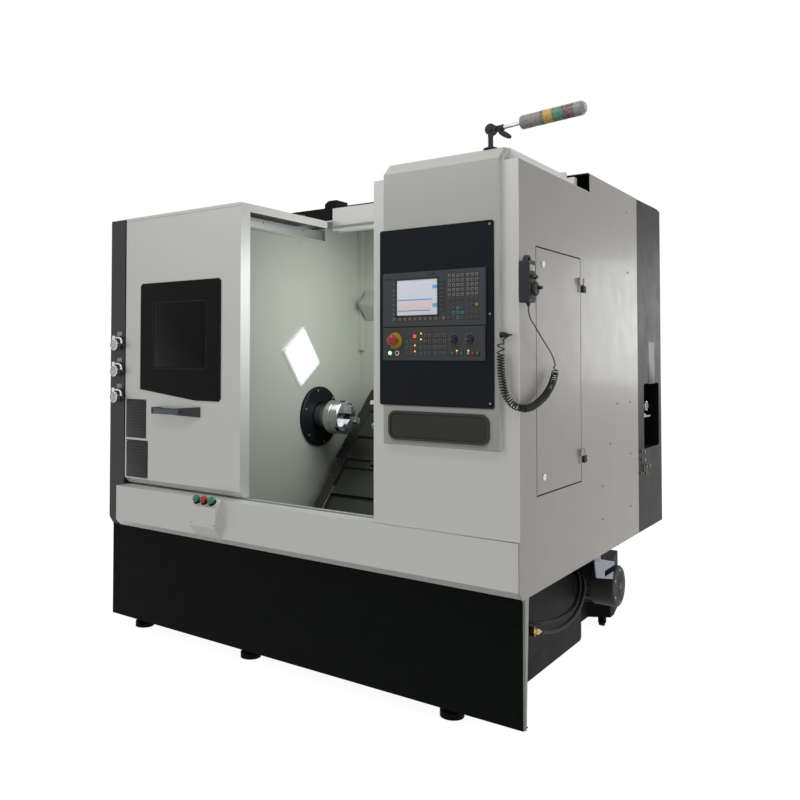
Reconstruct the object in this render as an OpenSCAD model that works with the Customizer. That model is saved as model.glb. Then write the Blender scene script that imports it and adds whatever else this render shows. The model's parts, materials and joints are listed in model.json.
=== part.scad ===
// Slant bed CNC lathe with an open sliding door, a control column and a rear cabinet.
// Machine coordinates have their zero at the front right lower corner of the base,
// X to the right, Y to the back and Z up. place() moves them to the part's frame, and
// upper() also lifts what stands on the base when the kick panel gets another height.

/* [Base] */
// Width of the base and of the front kick panel
base_w = 2205; // [2000:5:2400]
// Depth of the base casting
base_d = 1040; // [1000:10:1040]
// Height of the front kick panel
kick_h = 456; // [400:1:560]
// Height of the levelling feet under the base
foot_h = 55; // [40:1:80]
// Diameter of a levelling foot
foot_d = 92; // [60:1:120]

/* [Enclosure] */
// Height of the sill band in front
sill_h = 167; // [150:1:167]
// Distance from the kick panel forward to the sill band
sill_out = 71; // [68:1:75]
// Height of the rear housing above the kick panel
rear_h = 1597; // [1590:1:1620]
// Thickness of the sheet metal
sheet_t = 3; // [2:0.5:4]
// Distance from the left side to the wall that the spindle comes through
wall_in = 817; // [815:1:819]
// Depth of the working area behind the kick panel
work_back = 1025; // [1000:5:1040]
// Depth of the side wall behind the kick panel
side_back = 1332; // [1320:1:1340]
// Depth of the rear cabinet
cabinet_d = 413; // [380:1:440]

/* [Sliding door] */
// Width of the black strip left of the door
strip_w = 113; // [105:1:120]
// Width of the sliding door
door_w = 772; // [740:1:774]
// Height of the door, from its lower edge to its roof
door_h = 1314; // [1300:1:1314]
// Width of the door's dark window
window_w = 540; // [500:5:560]
// Height of the door's dark window
window_h = 560; // [500:5:570]
// Width of the door's handle
handle_w = 283; // [250:1:300]

/* [Spindle] */
// Height of the spindle's axis over the kick panel
spindle_up_kick = 535; // [530:1:540]
// Depth of the spindle's axis behind the kick panel
spindle_y = 639; // [630:1:645]
// Diameter of the chuck
chuck_d = 168; // [160:1:170]
// Diameter of the cover disc on the wall
disc_d = 302; // [290:1:310]
// Angle of the slanted bed
slant = 45; // [45:1:45]
// Diameter of the turret's disc
turret_d = 280; // [260:5:285]
// Number of the turret's stations
stations = 8; // [6:1:8]

/* [Column] */
// Width of the control column
column_w = 590; // [575:1:600]
// Size of the bevel around the column's roof
bevel = 55; // [45:1:60]
// Width of the control unit
unit_w = 420; // [415:1:425]
// Height of the control unit
unit_h = 200; // [195:1:202]
// Pitch of the keys on the control unit
key_pitch = 16.9; // [16:0.1:17.2]
// Diameter of the emergency stop
stop_d = 44; // [36:1:50]
// Diameter of the two override dials
dial_d = 30; // [24:1:34]

/* [Pendant] */
// Height of the pendant
pendant_h = 143; // [130:1:150]
// Outer diameter of the coiled part of its cord
coil_d = 27; // [24:1:30]
// Thickness of the cord
wire_d = 5.2; // [4:0.2:6]

/* [Signal lamp] */
// Diameter of the signal lamp
lamp_d = 48; // [40:1:52]
// Height of one coloured lens
lens_h = 35; // [30:1:36]
// Angle of the lamp's arm over the level
lamp_rise = 3.7; // [0:0.1:5]

/* [Hidden] */
$fn = 48;
light = [0.80, 0.81, 0.78];
black = [0.06, 0.065, 0.07];
dark = [0.13, 0.14, 0.15];
steel = [0.62, 0.63, 0.64];
brass = [0.72, 0.58, 0.32];
drawn_kick = 456;
rise = kick_h - drawn_kick;
skirt_z = drawn_kick + 4;
sill_top = drawn_kick + 35 + sill_h;
rear_top = drawn_kick + rear_h;
left_x = -base_w;
base_x0 = left_x + 60;
base_x1 = -178;
wall_x = left_x + wall_in;
door_x0 = left_x + strip_w;
door_x1 = door_x0 + door_w;
door_z0 = sill_top + 9;
door_z1 = door_z0 + door_h;
door_y = -24;
door_back = 38;
roof_back = 642;
col_y = -65;
column_top = 1976;
hmi_y = -87;
hmi_x0 = -column_w + 59;
hmi_x1 = -62;
hmi_z0 = 965;
strip_y = -26;
cab_back = side_back + cabinet_d;
cab_x0 = left_x + 705;
unit_x0 = -528;
unit_z0 = 1404;
piv = [-122, -15, 2104];
palm_tilt = 42;
palm_x = [left_x + 696, left_x + 742, left_x + 788];
box_x0 = left_x + 663;
beam_y = 655;
inner_x = -240;
way_x0 = wall_x + 88;
way_off = 108;
spindle_z = drawn_kick + spindle_up_kick;
slant_y = (spindle_y + spindle_z - way_off) / 2;
spindle_up = (spindle_z - spindle_y - way_off) / sqrt(2);
carriage_x = wall_x + 538;
window_x0 = door_x0 + 113;
window_z1 = door_z0 + 982;
handle_x0 = door_x0 + 242;
handle_z = door_z0 + 369;
tip_x = 216;
lamp_l = (tip_x - piv[0] - (lamp_d / 2 - 8) * sin(lamp_rise)) / cos(lamp_rise);
cap_l = lamp_l + piv[0] - 73 - 3 * lens_h;
stop_reach = 42;
pen = [8, -80, 1477];
gland = [hmi_x1, -76, 1368];
turret_at = [60, 28];
stop_at = [-475, 1352];
dial_x = [-230, -167];
hose_d = 16;
// route of the pendant's cord: down to where the side door swings, and on from there to the gland
cord_down = [[26, -44, 1464.8], [26, -43, 1450], [26, -36, 1434], [26, -20, 1418], [25, 24, 1393], [25, 64,
    1366],
    [25, 80, 1357]];
cord_up = [[25, 72, 1143], [25, 36, 1132], [25, -10, 1122], [26, -61, 1118], [18, -88, 1119], [-4, -92,
    1126],
    [-18, -92, 1136], [-32, -94, 1156], [-41, -97, 1178], [-47, -101, 1225], [-50, -102, 1276],
    [-50, -102, 1300], [-50, -101, 1324]];
cord_end = [[-50, -101, 1330], [-44, -100, 1344], [-32, -96, 1357], [-21, -86, 1366], [-21, -77, 1368],
    [-28, -76, 1368], [-37.7, -76, 1368]];
upper_route = [[-223.7, 130, 372], [-180, 131, 371], [-128, 144, 352], [-84, 184, 318], [-64, 240, 300],
    [-60, 300, 290], [-60, 406, 271], [-60, 490, 264], [-60, 556, 265], [-61, 610, 271], [-64, 655, 283],
    [-70, 705, 308], [-84, 749, 338], [-106, 786, 366], [-140, 808, 382], [-162, 812, 384], [-177.7, 812,
        384]];
lower_route = [[-34, 201, 286], [-34, 218, 281], [-34, 240, 275], [-34, 279, 266], [-34, 350, 252],
    [-34, 434, 246], [-34, 520, 251], [-36, 588, 266], [-42, 650, 283], [-52, 705, 301], [-68, 765, 322],
    [-96, 822, 337], [-138, 856, 343], [-162, 862, 344], [-177.7, 862, 344]];
shift_x = (base_w - tip_x) / 2;
shift_y = -(cab_back + hmi_y - stop_reach) / 2;

// Node to build, or all of them

module place() translate([shift_x, shift_y, foot_h]) children();
module upper() place() translate([0, 0, rise]) children();

// box from its two opposite corners
module slab(a, b) translate(a) cube([b[0] - a[0], b[1] - a[1], b[2] - a[2]]);

// solid with an outline in Y and Z, along X from x0 to x1
module along_x(x0, x1, pts)
    translate([x0, 0, 0]) rotate([90, 0, 90]) linear_extrude(x1 - x0) polygon(pts);

// solid with an outline in X and Z, along Y from y0 to y1
module along_y(y0, y1, pts)
    translate([0, y1, 0]) rotate([90, 0, 0]) linear_extrude(y1 - y0) polygon(pts);

// solid with an outline in X and Y, from z0 to z1
module along_z(z0, z1, pts) translate([0, 0, z0]) linear_extrude(z1 - z0) polygon(pts);

module round_box(x0, x1, z0, z1, r) {
    translate([x0 + r, z0]) square([x1 - x0 - 2 * r, z1 - z0]);
    translate([x0, z0 + r]) square([x1 - x0, z1 - z0 - 2 * r]);
    for (x = [x0 + r, x1 - r], z = [z0 + r, z1 - r]) translate([x, z]) circle(r);
}

// upright plate in X and Z with round corners, from y0 to y1
module round_plate(x0, x1, z0, z1, r, y0, y1)
    translate([0, y1, 0]) rotate([90, 0, 0]) linear_extrude(y1 - y0) round_box(x0, x1, z0, z1, r);

// upright plate in Y and Z with round corners, from x0 to x1
module round_side(y0, y1, z0, z1, r, x0, x1)
    translate([x0, 0, 0]) rotate([90, 0, 90]) linear_extrude(x1 - x0) round_box(y0, y1, z0, z1, r);

module cyl_x(x0, x1, y, z, d) translate([x0, y, z]) rotate([0, 90, 0]) cylinder(d = d, h = x1 - x0);
module cyl_y(y0, y1, x, z, d) translate([x, y1, z]) rotate([90, 0, 0]) cylinder(d = d, h = y1 - y0);

// turned piece along X from x, with its profile as pairs of radius and distance
module turned_x(x, y, z, pts) translate([x, y, z]) rotate([0, 90, 0]) rotate_extrude() polygon(pts);

module turned_y(x, y, z, pts) translate([x, y, z]) rotate([-90, 0, 0]) rotate_extrude() polygon(pts);

// curve through the points with n steps between each two
function blend(a, b, c, d, t) = (2 * b + (c - a) * t + (2 * a - 5 * b + 4 * c - d) * t * t
    + (3 * b - a - 3 * c + d) * t * t * t) / 2;
function curve(p, n) = [for (i = [0:len(p) - 2], k = [0:n - 1]) blend(p[max(i - 1, 0)], p[i], p[i + 1],
    p[min(i + 2, len(p) - 1)], k / n), p[len(p) - 1]];
function unit(v) = v / norm(v);
function square_to(v, t) = unit(v - (v * t) * t);

// tube of n sides swept along the points, with one diameter for each of them
module tube(p, d, n = 8) {
    m = len(p);
    t = [for (i = [0:m - 1]) unit(p[min(i + 1, m - 1)] - p[max(i - 1, 0)])];
    u = [for (i = 0, v = square_to([0.3, 0.5, 0.8], t[0]); i < m; i = i + 1,
        v = square_to(v, t[min(i, m - 1)])) v];
    ring = [for (i = [0:m - 1]) let (a = square_to(u[i], t[i]), b = cross(t[i], a))
        for (k = [0:n - 1]) p[i] + d[i] / 2 * (cos(360 * k / n) * a + sin(360 * k / n) * b)];
    side = [for (i = [0:m - 2], k = [0:n - 1]) let (a = i * n + k, b = i * n + (k + 1) % n)
        each [[a, a + n, b + n], [a, b + n, b]]];
    polyhedron(ring, concat([[for (k = [0:n - 1]) k]], [[for (k = [1:n]) m * n - k]], side));
}

// casting with a recess at its right side, pockets at its left and crane openings through it
module casting() color(black) place() difference() {
    union() {
        along_x(base_x0, base_x1, [[40, 12], [52, 0], [base_d - 12, 0], [base_d, 12], [base_d,
            kick_h - 156],
            [side_back, kick_h - 96], [side_back, kick_h], [40, kick_h]]);
        cyl_x(base_x1 - 62, base_x1, base_d - 2, 272, 204);
    }
    slab([base_x1 - 46, 70, 62], [base_x1 + 1, 282, kick_h - 24]);
    for (y = [90, 560]) slab([base_x0 - 1, y, 90], [base_x0 + 30, y + 380, kick_h - 60]);
    slab([base_x0 + 200, 39, 60], [base_x0 + 560, base_d + 1, 150]);
    slab([base_x1 - 700, 39, 60], [base_x1 - 340, base_d + 1, 150]);
}

module base_casting() {
    casting();
    hose_coupling();
}

module kick_panel() color(black) place() {
    slab([left_x, 0, 0], [-18, sheet_t, kick_h]);
    slab([left_x, sheet_t, 0], [-18, 40, sheet_t]);
    slab([left_x, sheet_t, sheet_t], [left_x + sheet_t, 40, kick_h]);
    slab([-24, sheet_t, sheet_t], [-18, 32, kick_h]);
}

// levelling foot: pad with a chamfered rim, threaded stem and nut
module levelling_feet() color(black) place()
    for (x = [left_x + 150, -1345, -335], y = [82, base_d - 80])
        translate([x, y, -foot_h]) {
            rotate_extrude() polygon([[0, 0], [foot_d / 2, 0], [foot_d / 2, 22], [foot_d / 2 - 8, 34],
                [24, 34],
                [20, foot_h * 0.75], [0, foot_h * 0.75]]);
            translate([0, 0, foot_h * 0.75]) cylinder(d = 30, h = foot_h * 0.25);
            translate([0, 0, foot_h * 0.75]) cylinder(d = 46, h = 7, $fn = 6);
        }

module sill_cover() color(light) upper() difference() {
    along_x(door_x0 - 6, -sheet_t, [[-sill_out, skirt_z + 31], [-sill_out, sill_top], [45, sill_top],
        [45, skirt_z + 3], [-sill_out + 28, skirt_z + 3]]);
    along_x(door_x0 - 6 + sheet_t, -2 * sheet_t, [[-sill_out + sheet_t, skirt_z + 32],
        [-sill_out + sheet_t, sill_top - sheet_t], [46, sill_top - sheet_t], [46, skirt_z + 3 + sheet_t],
        [-sill_out + 28 + sheet_t / 2, skirt_z + 3 + sheet_t]]);
}

// lower guide bar with a shallow channel for the rollers, and the upper bar under the beam
module door_track() color(steel) upper() {
    difference() {
        slab([door_x0, 0, sill_top], [-column_w - 2, 16, sill_top + 3]);
        slab([door_x0 - 1, 7, sill_top + 2], [-column_w - 1, 13, sill_top + 4]);
    }
    slab([door_x1 - 130, beam_y - 22, 1950], [-column_w - 2, beam_y, 1956]);
}

module palm_at(x) translate([x, -91, skirt_z + 185]) rotate([palm_tilt, 0, 0]) children();

module button_box() color(light) upper() difference() {
    union() {
        along_x(box_x0, box_x0 + 155, [[-111, 540], [-111, 628], [-sill_out, 662], [-sill_out, 489]]);
        for (x = palm_x) palm_at(x) cylinder(d = 40, h = 4);
    }
    for (x = palm_x) palm_at(x) translate([0, 0, -14]) cylinder(d = 17, h = 24);
}

module palm_head(c) color(c) {
    rotate_extrude() polygon([[0, 14], [15, 14], [17, 16], [17, 24], [13, 29], [0, 31]]);
    color(black) translate([0, 0, -3]) cylinder(d = 15, h = 17);
}

module left_palm_button() upper() palm_at(palm_x[0]) palm_head([0.05, 0.45, 0.25]);
module stop_palm_button() upper() palm_at(palm_x[1]) palm_head([0.7, 0.08, 0.06]);
module right_palm_button() upper() palm_at(palm_x[2]) palm_head([0.05, 0.45, 0.25]);

// closed end cabinet: lower edge cut back, and two service covers on its outer side
module left_end_cabinet() color(black) upper() difference() {
    slab([left_x, strip_y, skirt_z], [door_x0 - 6, side_back, door_z1 - 2]);
    along_y(strip_y - 2, side_back + 1,
        [[left_x - 1, skirt_z - 1], [left_x + 30, skirt_z - 1], [left_x - 1, skirt_z + 30]]);
    for (y = [90, 720]) difference() {
        round_side(y, y + 520, 620, 1820, 12, left_x - 1, left_x + 3);
        round_side(y + 4, y + 516, 624, 1816, 9, left_x - 2, left_x + 4);
    }
    for (z = [1560:40:1720]) round_side(800, 1160, z, z + 14, 6, left_x - 1, left_x + 8);
}

// pressure regulator: dial with a rim, bent tube from its block to a knob, and a drain
module air_gauges() color(steel) upper()
    for (z = [1351, 1220, 1090]) translate([left_x + 60, strip_y, z]) {
        rotate([90, 0, 0]) rotate_extrude()
            polygon([[0, 0], [12, 0], [12, 14], [27, 16], [27, 31], [24, 33], [23, 30], [0, 30]]);
        slab([-24, -22, 26], [-4, 0, 46]);
        cyl_x(-5, 17, -14, 36, 10);
        translate([17, -14, 14]) rotate([90, 0, 0]) rotate_extrude(angle = 90) translate([22, 0]) circle(5);
        translate([39, -14, -8]) cylinder(d = 13, h = 22);
        cyl_y(-14, 0, 39, -2, 9);
    }

module headstock_housing() color(light) upper() difference() {
    union() {
        slab([door_x0 - 6, 50, drawn_kick], [wall_x - 3, side_back, 1871]);
        slab([door_x0 - 6, 700, 1871], [wall_x - 3, side_back, rear_top - 3]);
    }
    for (z = [700:46:1250]) slab([door_x0 + 120, side_back - 6, z], [door_x0 + 420, side_back + 1, z + 18]);
}

module spindle_wall() color(light) upper() {
    slab([wall_x - 3, 50, drawn_kick], [wall_x, work_back, 1893]);
    slab([wall_x, 50, 1884], [wall_x + 8, 667, 1893]);
}

module wall_top_rail() color(steel) upper() difference() {
    union() {
        slab([wall_x - 40, 60, 1893], [wall_x, 667, 1909]);
        slab([wall_x - 12, 60, 1909], [wall_x, 667, 1940]);
    }
    slab([wall_x - 2, 59, 1921], [wall_x + 1, 668, 1930]);
}

// slanted work light: frame, and a diffuser set into it
module work_light() color([0.95, 0.97, 0.95]) upper()
    translate([wall_x, 492, 1293]) rotate([-53, 0, 0]) difference() {
        slab([0, -112, -98], [14, 112, 98]);
        slab([10, -100, -86], [15, 100, 86]);
    }

module back_wall() color(light) upper() {
    slab([wall_x - 3, work_back, drawn_kick], [-3, work_back + 3, rear_top - 3]);
    along_x(wall_x + 44, inner_x, [[work_back, 1490], [work_back - 85, 1575], [work_back, 1660]]);
    slab([wall_x, work_back - 26, 1330], [wall_x + 26, work_back, rear_top - 3]);
}

module header_beam() color(light) upper() difference() {
    slab([door_x1 + 10, beam_y, 1933], [inner_x, beam_y + 60, rear_top - 3]);
    slab([door_x1 + 9, beam_y + sheet_t, 1932], [inner_x - 20, beam_y + 57, 1960]);
}

module rear_roof() color(black) upper() {
    slab([door_x0 - 6, 655, rear_top - 3], [-3, side_back, rear_top + 3]);
    along_x(door_x0 + 602, door_x1 + 8, [[655, 1990], [655, rear_top - 3], [695, rear_top - 3], [695,
        2010]]);
    along_y(660, 760, [[door_x1 - 43, rear_top + 3], [door_x1 - 43, rear_top + 24], [door_x1 - 20,
        rear_top + 40],
        [door_x1 + 30, rear_top + 40], [door_x1 + 30, rear_top + 3]]);
    for (y = [800, 1090]) slab([door_x0 + 200, y, rear_top + 3], [-160, y + 12, rear_top + 9]);
}

module chip_tray() color(dark) upper() slab([wall_x, 45, drawn_kick], [inner_x, work_back,
    drawn_kick + 12]);

// frame of the slanted bed: Y up along the covers, Z out of them, zero at the spindle's foot
module on_slant() translate([0, slant_y, slant_y + way_off]) rotate([slant, 0, 0]) children();

// telescopic covers as plates that overlap, with the uppermost lying highest
module way_covers() color(dark) upper() {
    along_x(way_x0 + 60, inner_x, [[drawn_kick + 12 - way_off + 34, drawn_kick + 12],
        [work_back, 988 + way_off], [work_back, drawn_kick + 12]]);
    on_slant() {
        slab([way_x0 + 60, -330, -24], [inner_x, -286, -8]);
        slab([way_x0 + 70, -292, -24], [inner_x, -158, -16]);
        slab([way_x0 + 70, -166, -24], [inner_x, -112, -10]);
        slab([way_x0 + 64, -116, -24], [inner_x, 30, -4]);
        slab([way_x0 + 64, 26, -24], [inner_x, 200, 2]);
        slab([way_x0 + 64, 196, -24], [inner_x, 346, 8]);
        bed_side_rail();
    }
}

// flat side rail of the bed along the spindle wall, with its step halfway up
module bed_side_rail() color(black) {
    slab([way_x0 + 16, -450, -24], [way_x0 + 64, -118, 0]);
    slab([way_x0, -118, -24], [way_x0 + 64, 346, 4]);
}

// cross slide on the covers, with the turret's column and a fixed tool block at its lower edge
module cross_slide() color(dark) upper() on_slant() {
    slab([carriage_x, -150, 8], [-560, 340, 60]);
    difference() {
        slab([carriage_x, -70, 60], [-600, 330, spindle_up + 120]);
        for (n = [90:30:spindle_up + 100]) slab([carriage_x + 20, -71, n], [-620, -64, n + 8]);
    }
    slab([carriage_x, -232, 24], [carriage_x + 60, -150, 116]);
    slab([carriage_x - 150, -222, 85], [carriage_x, -202, 105]);
}

// turret: indexing head, disc with flats between its stations, tool blocks and tools
module turret() color(steel) upper() on_slant() translate([0, turret_at[0], spindle_up]) {
    difference() {
        union() {
            turned_x(carriage_x - 120, 0, 0, [[0, 0], [60, 0], [66, 6], [66, 10], [turret_d / 2 - 8, 10],
                [turret_d / 2, 18], [turret_d / 2, 72], [turret_d / 2 - 8, 80], [turret_d * 0.35, 80],
                [turret_d * 0.35, 120], [0, 120]]);
        }
        for (a = [0:360 / stations:359]) rotate([a + turret_at[1] + 180 / stations, 0, 0])
            slab([carriage_x - 111, turret_d / 2 - 8, -40], [carriage_x - 39, turret_d / 2 + 9, 40]);
    }
    for (a = [0:360 / stations:359]) rotate([a + turret_at[1], 0, 0]) {
        slab([carriage_x - 108, turret_d / 2 - 14, -22], [carriage_x - 46, turret_d / 2 + 16, 22]);
        slab([carriage_x - 150, turret_d / 2 - 6, -10], [carriage_x - 108, turret_d / 2 + 14, 10]);
    }
}

module spindle_cover_disc() color(black) upper() difference() {
    turned_x(wall_x, spindle_y, spindle_z, [[0, 0], [disc_d / 2, 0], [disc_d / 2, 14], [disc_d / 2 - 6, 20],
        [0, 20]]);
    cyl_x(wall_x + 4, wall_x + 21, spindle_y, spindle_z, chuck_d - 20);
}

// chuck: back plate, body with two grooves and chamfers, three slots for the jaws, bore
module chuck_body() color(steel) upper() difference() {
    turned_x(wall_x + 4.4, spindle_y, spindle_z, [[0, 0], [chuck_d / 2 - 16, 0], [chuck_d / 2 - 16, 83.6],
        [chuck_d / 2 - 4, 83.6], [chuck_d / 2, 87.6], [chuck_d / 2, 118], [chuck_d / 2 - 1.5, 119.5],
        [chuck_d / 2 - 1.5, 124], [chuck_d / 2, 125.5], [chuck_d / 2, 166.6], [chuck_d / 2 - 5, 171.6],
        [0, 171.6]]);
    cyl_x(wall_x + 128, wall_x + 182, spindle_y, spindle_z, 46);
    for (a = [100, 220, 340]) translate([wall_x + 176, spindle_y, spindle_z]) rotate([a, 0, 0]) {
        slab([-8, 26, -9], [1, chuck_d / 2 + 1, 9]);
        slab([-20, 30, -15], [-8, chuck_d / 2 + 1, 15]);
    }
}

// soft jaws with two steps, each on a tongue in its slot
module chuck_jaws() color(steel) upper()
    for (a = [100, 220, 340]) translate([wall_x + 176, spindle_y, spindle_z]) rotate([a, 0, 0]) {
        difference() {
            union() {
                slab([0, 25, -14], [24, 79, 14]);
                slab([24, 25, -14], [42, 60, 14]);
            }
            for (u = [38, 70]) translate([10, u, 0]) rotate([0, 90, 0]) cylinder(d = 13, h = 40, $fn = 24);
        }
        slab([-8, 31, -8.6], [0, 74, 8.6]);
    }

// column front: two tiers of sheet, and the roof with its bevels
module column_front() color(light) upper() {
    slab([-column_w, col_y, sill_top + 2], [hmi_x0, col_y + sheet_t, column_top - 6]);
    slab([hmi_x0, col_y, sill_top + 2], [0, col_y + sheet_t, column_top]);
    slab([-column_w, col_y + sheet_t, sill_top + 2], [-column_w + sheet_t, 60, column_top - 6]);
    along_x(hmi_x0, -bevel, [[col_y, column_top], [col_y + bevel, column_top + bevel],
        [beam_y - 175, column_top + bevel], [beam_y, column_top + 28], [beam_y, column_top]]);
    along_y(col_y + bevel, beam_y - 175,
        [[-bevel, column_top], [-bevel, column_top + bevel], [0, column_top]]);
    slab([-bevel, beam_y - 175, column_top], [-3, beam_y, column_top + 3]);
    slab([-column_w, col_y + sheet_t, column_top - 9], [hmi_x0, beam_y, column_top - 6]);
    for (y = [489, 604]) slab([hmi_x1 - 30, y, column_top + 3], [hmi_x1 + 20, y + 30,
        column_top + bevel + 4]);
}

module column_side() color(light) upper() {
    difference() {
        union() {
            along_x(-sheet_t, 0, [[45, skirt_z], [-sill_out + 28, skirt_z], [-sill_out, skirt_z + 29],
                [-sill_out, sill_top], [col_y + 3, sill_top], [col_y + 3, column_top], [side_back,
                    column_top],
                [side_back, skirt_z]]);
            slab([-sheet_t, 671, column_top], [0, side_back, rear_top]);
        }
        slab([-4, 85, 795], [1, 548, 1690]);
    }
    slab([-18, 0, skirt_z], [-sheet_t, 32, skirt_z + 3]);
    translate([0, 0, -rise]) along_x(-18, -9, [[0, 4], [8, 4], [32, skirt_z + rise], [0, skirt_z + rise]]);
}

module column_inner_wall() color(light) upper()
    slab([inner_x, 60, skirt_z], [inner_x + sheet_t, work_back, column_top]);

module control_housing() {
    housing();
    cord_gland();
}

module housing() color(light) upper()
    along_x(hmi_x0, hmi_x1, [[hmi_y + 4, hmi_z0], [hmi_y, hmi_z0 + 4], [hmi_y, column_top + 6],
        [hmi_y + 45, column_top + 51], [col_y + bevel, column_top + bevel], [col_y, column_top], [col_y,
            hmi_z0]]);

module stop_hole() cyl_y(hmi_y - 20, hmi_y, stop_at[0], stop_at[1], 22.8);

module control_panel() color(black) upper() difference() {
    round_plate(-column_w + 44, -80, 1112, 1768, 9, hmi_y - 3, hmi_y);
    stop_hole();
}

// control unit: raised frame, recessed screen, rows of soft keys and of small keys
module control_unit() color(dark) upper() {
    difference() {
        slab([unit_x0, hmi_y - 10, unit_z0], [unit_x0 + unit_w, hmi_y - 3, unit_z0 + unit_h]);
        slab([unit_x0 + 61, hmi_y - 11, unit_z0 + 41], [unit_x0 + 231, hmi_y - 8, unit_z0 + 171]);
    }
    for (i = [0:3], j = [0:5]) key(i * key_pitch + 276, 172 - j * key_pitch, 10, 10);
    for (i = [0:2], j = [0:5]) key(i * key_pitch + 349, 172 - j * key_pitch, 10, 10);
    for (i = [0:3], j = [0:2]) key(i * key_pitch + 276, 56 - j * key_pitch, 10, 10);
    for (i = [1:2]) key(i * key_pitch + 349, 66, 10, 10);
    for (i = [0:2], j = [0:1]) key(i * key_pitch + 349, 38 - j * key_pitch, 10, 10);
    for (i = [-1:8]) key(i * 21.4 + 69 + (i == 8 ? 11 : 0) - (i == -1 ? 4 : 0), 21, 14, 12);
    for (j = [0:7]) key(241, 158 - 15 * j, 20, 9);
}

module key(x, z, w, h)
    slab([unit_x0 + x, hmi_y - 11.5, unit_z0 + z], [unit_x0 + x + w, hmi_y - 10, unit_z0 + z + h]);

module operator_panel() color(black) upper() {
    difference() {
        union() {
            slab([unit_x0, hmi_y - 8, 1279], [unit_x0 + unit_w - 3, hmi_y - 3, 1401]);
            cyl_y(hmi_y - 9.2, hmi_y - 8, stop_at[0], stop_at[1], 60);
        }
        stop_hole();
    }
    for (b = [[105, 2], [165, 3], [226, 3]], i = [0:2], j = [0:b[1]])
        slab([unit_x0 + b[0] + 17.5 * i - 6, hmi_y - 9.5, 1298.5 + 21.4 * j],
            [unit_x0 + b[0] + 17.5 * i + 6, hmi_y - 8, 1310.5 + 21.4 * j]);
    for (x = [292, 354], i = [0:2]) cyl_y(hmi_y - 10, hmi_y - 8, unit_x0 + x + 17.5 * i, 1304.5, 13);
    for (x = [-496, -465.5]) cyl_y(hmi_y - 10, hmi_y - 8, x, 1306, 15);
    cyl_y(hmi_y - 10, hmi_y - 8, -390, 1367, 14);
    for (x = dial_x) cyl_y(hmi_y - 8.2, hmi_y - 8, x, 1354, dial_d + 22);
}

module emergency_stop() color([0.75, 0.08, 0.05]) upper()
    translate([stop_at[0], hmi_y - 7, stop_at[1]]) rotate([90, 0, 0]) rotate_extrude()
        polygon([[0, 0], [11, 0], [11, 18], [stop_d / 2 - 3, 19], [stop_d / 2, 22], [stop_d / 2, 26],
            [stop_d / 2 - 4, 31], [10, stop_reach - 7], [0, stop_reach - 7]]);

// dial: skirt, waisted grip with flats, and a cap
module dial(x) color(dark) upper() translate([x, hmi_y - 8.5, 1354]) rotate([90, 0, 0]) {
    cylinder(d = dial_d, h = 5);
    intersection() {
        cylinder(d1 = dial_d - 4, d2 = dial_d - 8, h = 18);
        translate([-dial_d / 2, -5, 0]) cube([dial_d, 10, 18]);
    }
}
module feed_dial() dial(dial_x[0]);
module speed_dial() dial(dial_x[1]);

module lower_window() color(black) upper() {
    difference() {
        round_plate(-508, -98, 984, 1092, 32, hmi_y - 6, hmi_y);
        round_plate(-499, -107, 993, 1083, 25, hmi_y - 7, hmi_y - 2);
    }
}

// access door with the moving leaves of its two hinges
module side_door() color(light) upper() {
    slab([-sheet_t, 90, 800], [0, 543, 1685]);
    for (z = [1581, 899]) difference() {
        union() {
            slab([0, 518, z - 28], [3, 543, z + 28]);
            slab([3, 518, z + 1], [10, 552, z + 28]);
            translate([7, 556, z + 1]) cylinder(d = 12, h = 27);
        }
        translate([7, 556, z - 29]) cylinder(d = 5.4, h = 60);
    }
}

module side_door_hinges() color(black) upper()
    for (z = [1581, 899]) {
        translate([7, 556, z - 28]) cylinder(d = 12, h = 27);
        translate([7, 556, z - 28]) cylinder(d = 5, h = 56);
        slab([0, 556, z - 28], [7, 593, z - 1]);
    }

// quarter turn locks: round body with a raised rim and a slot
module side_door_locks() color(black) upper()
    for (z = [1629, 859]) difference() {
        turned_x(0, 152, z, [[0, 0], [13, 0], [13, 3], [11, 5], [0, 5]]);
        slab([3, 144, z - 1.5], [6, 160, z + 1.5]);
    }

// hand pendant: box with round corners, pad on the wall, hanging bow, two selectors, plate
module pendant() color(black) upper() {
    round_side(pen[1], pen[1] + 55, pen[2], pen[2] + pendant_h, 9, pen[0], pen[0] + 36);
    round_side(pen[1] + 20, pen[1] + 50, pen[2] + 20, pen[2] + pendant_h - 22, 4, 0, pen[0]);
    translate([pen[0] + 10, pen[1] + 27, pen[2] + pendant_h - 2]) rotate([90, 0, 90]) difference() {
        union() {
            cylinder(d = 44, h = 14);
            translate([-22, -6, 0]) cube([44, 8, 14]);
        }
        translate([0, 4, -1]) cylinder(d = 21, h = 16);
        translate([-30, -32, -1]) cube([60, 30, 16]);
    }
    for (y = [14, 42]) cyl_x(pen[0] + 36, pen[0] + 46, pen[1] + y, pen[2] + 88, 15);
    cyl_x(pen[0] + 36, pen[0] + 38, pen[1] + 27, pen[2] + 46, 52);
    translate([pen[0] + 18, pen[1] + 36, pen[2] - 12]) cylinder(d1 = 9, d2 = 15, h = 12);
}

module pendant_wheel() color(dark) upper()
    turned_x(pen[0] + 38.4, pen[1] + 27, pen[2] + 46, [[0, 0], [9, 0], [9, 3], [22, 4], [24, 6], [24, 12],
        [21, 15], [0, 15]]);

// cord: wire from the pendant, the coiled part as a plain tube, and the wire to the gland
module pendant_cord() color(black) upper() {
    down = curve(cord_down, 2);
    tube(down, [for (q = down) wire_d]);
    thick = curve(cord_up, 2);
    last = curve(cord_end, 3);
    tube(concat(thick, last), concat([for (q = thick) coil_d], [for (q = last) wire_d]));
}

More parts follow.
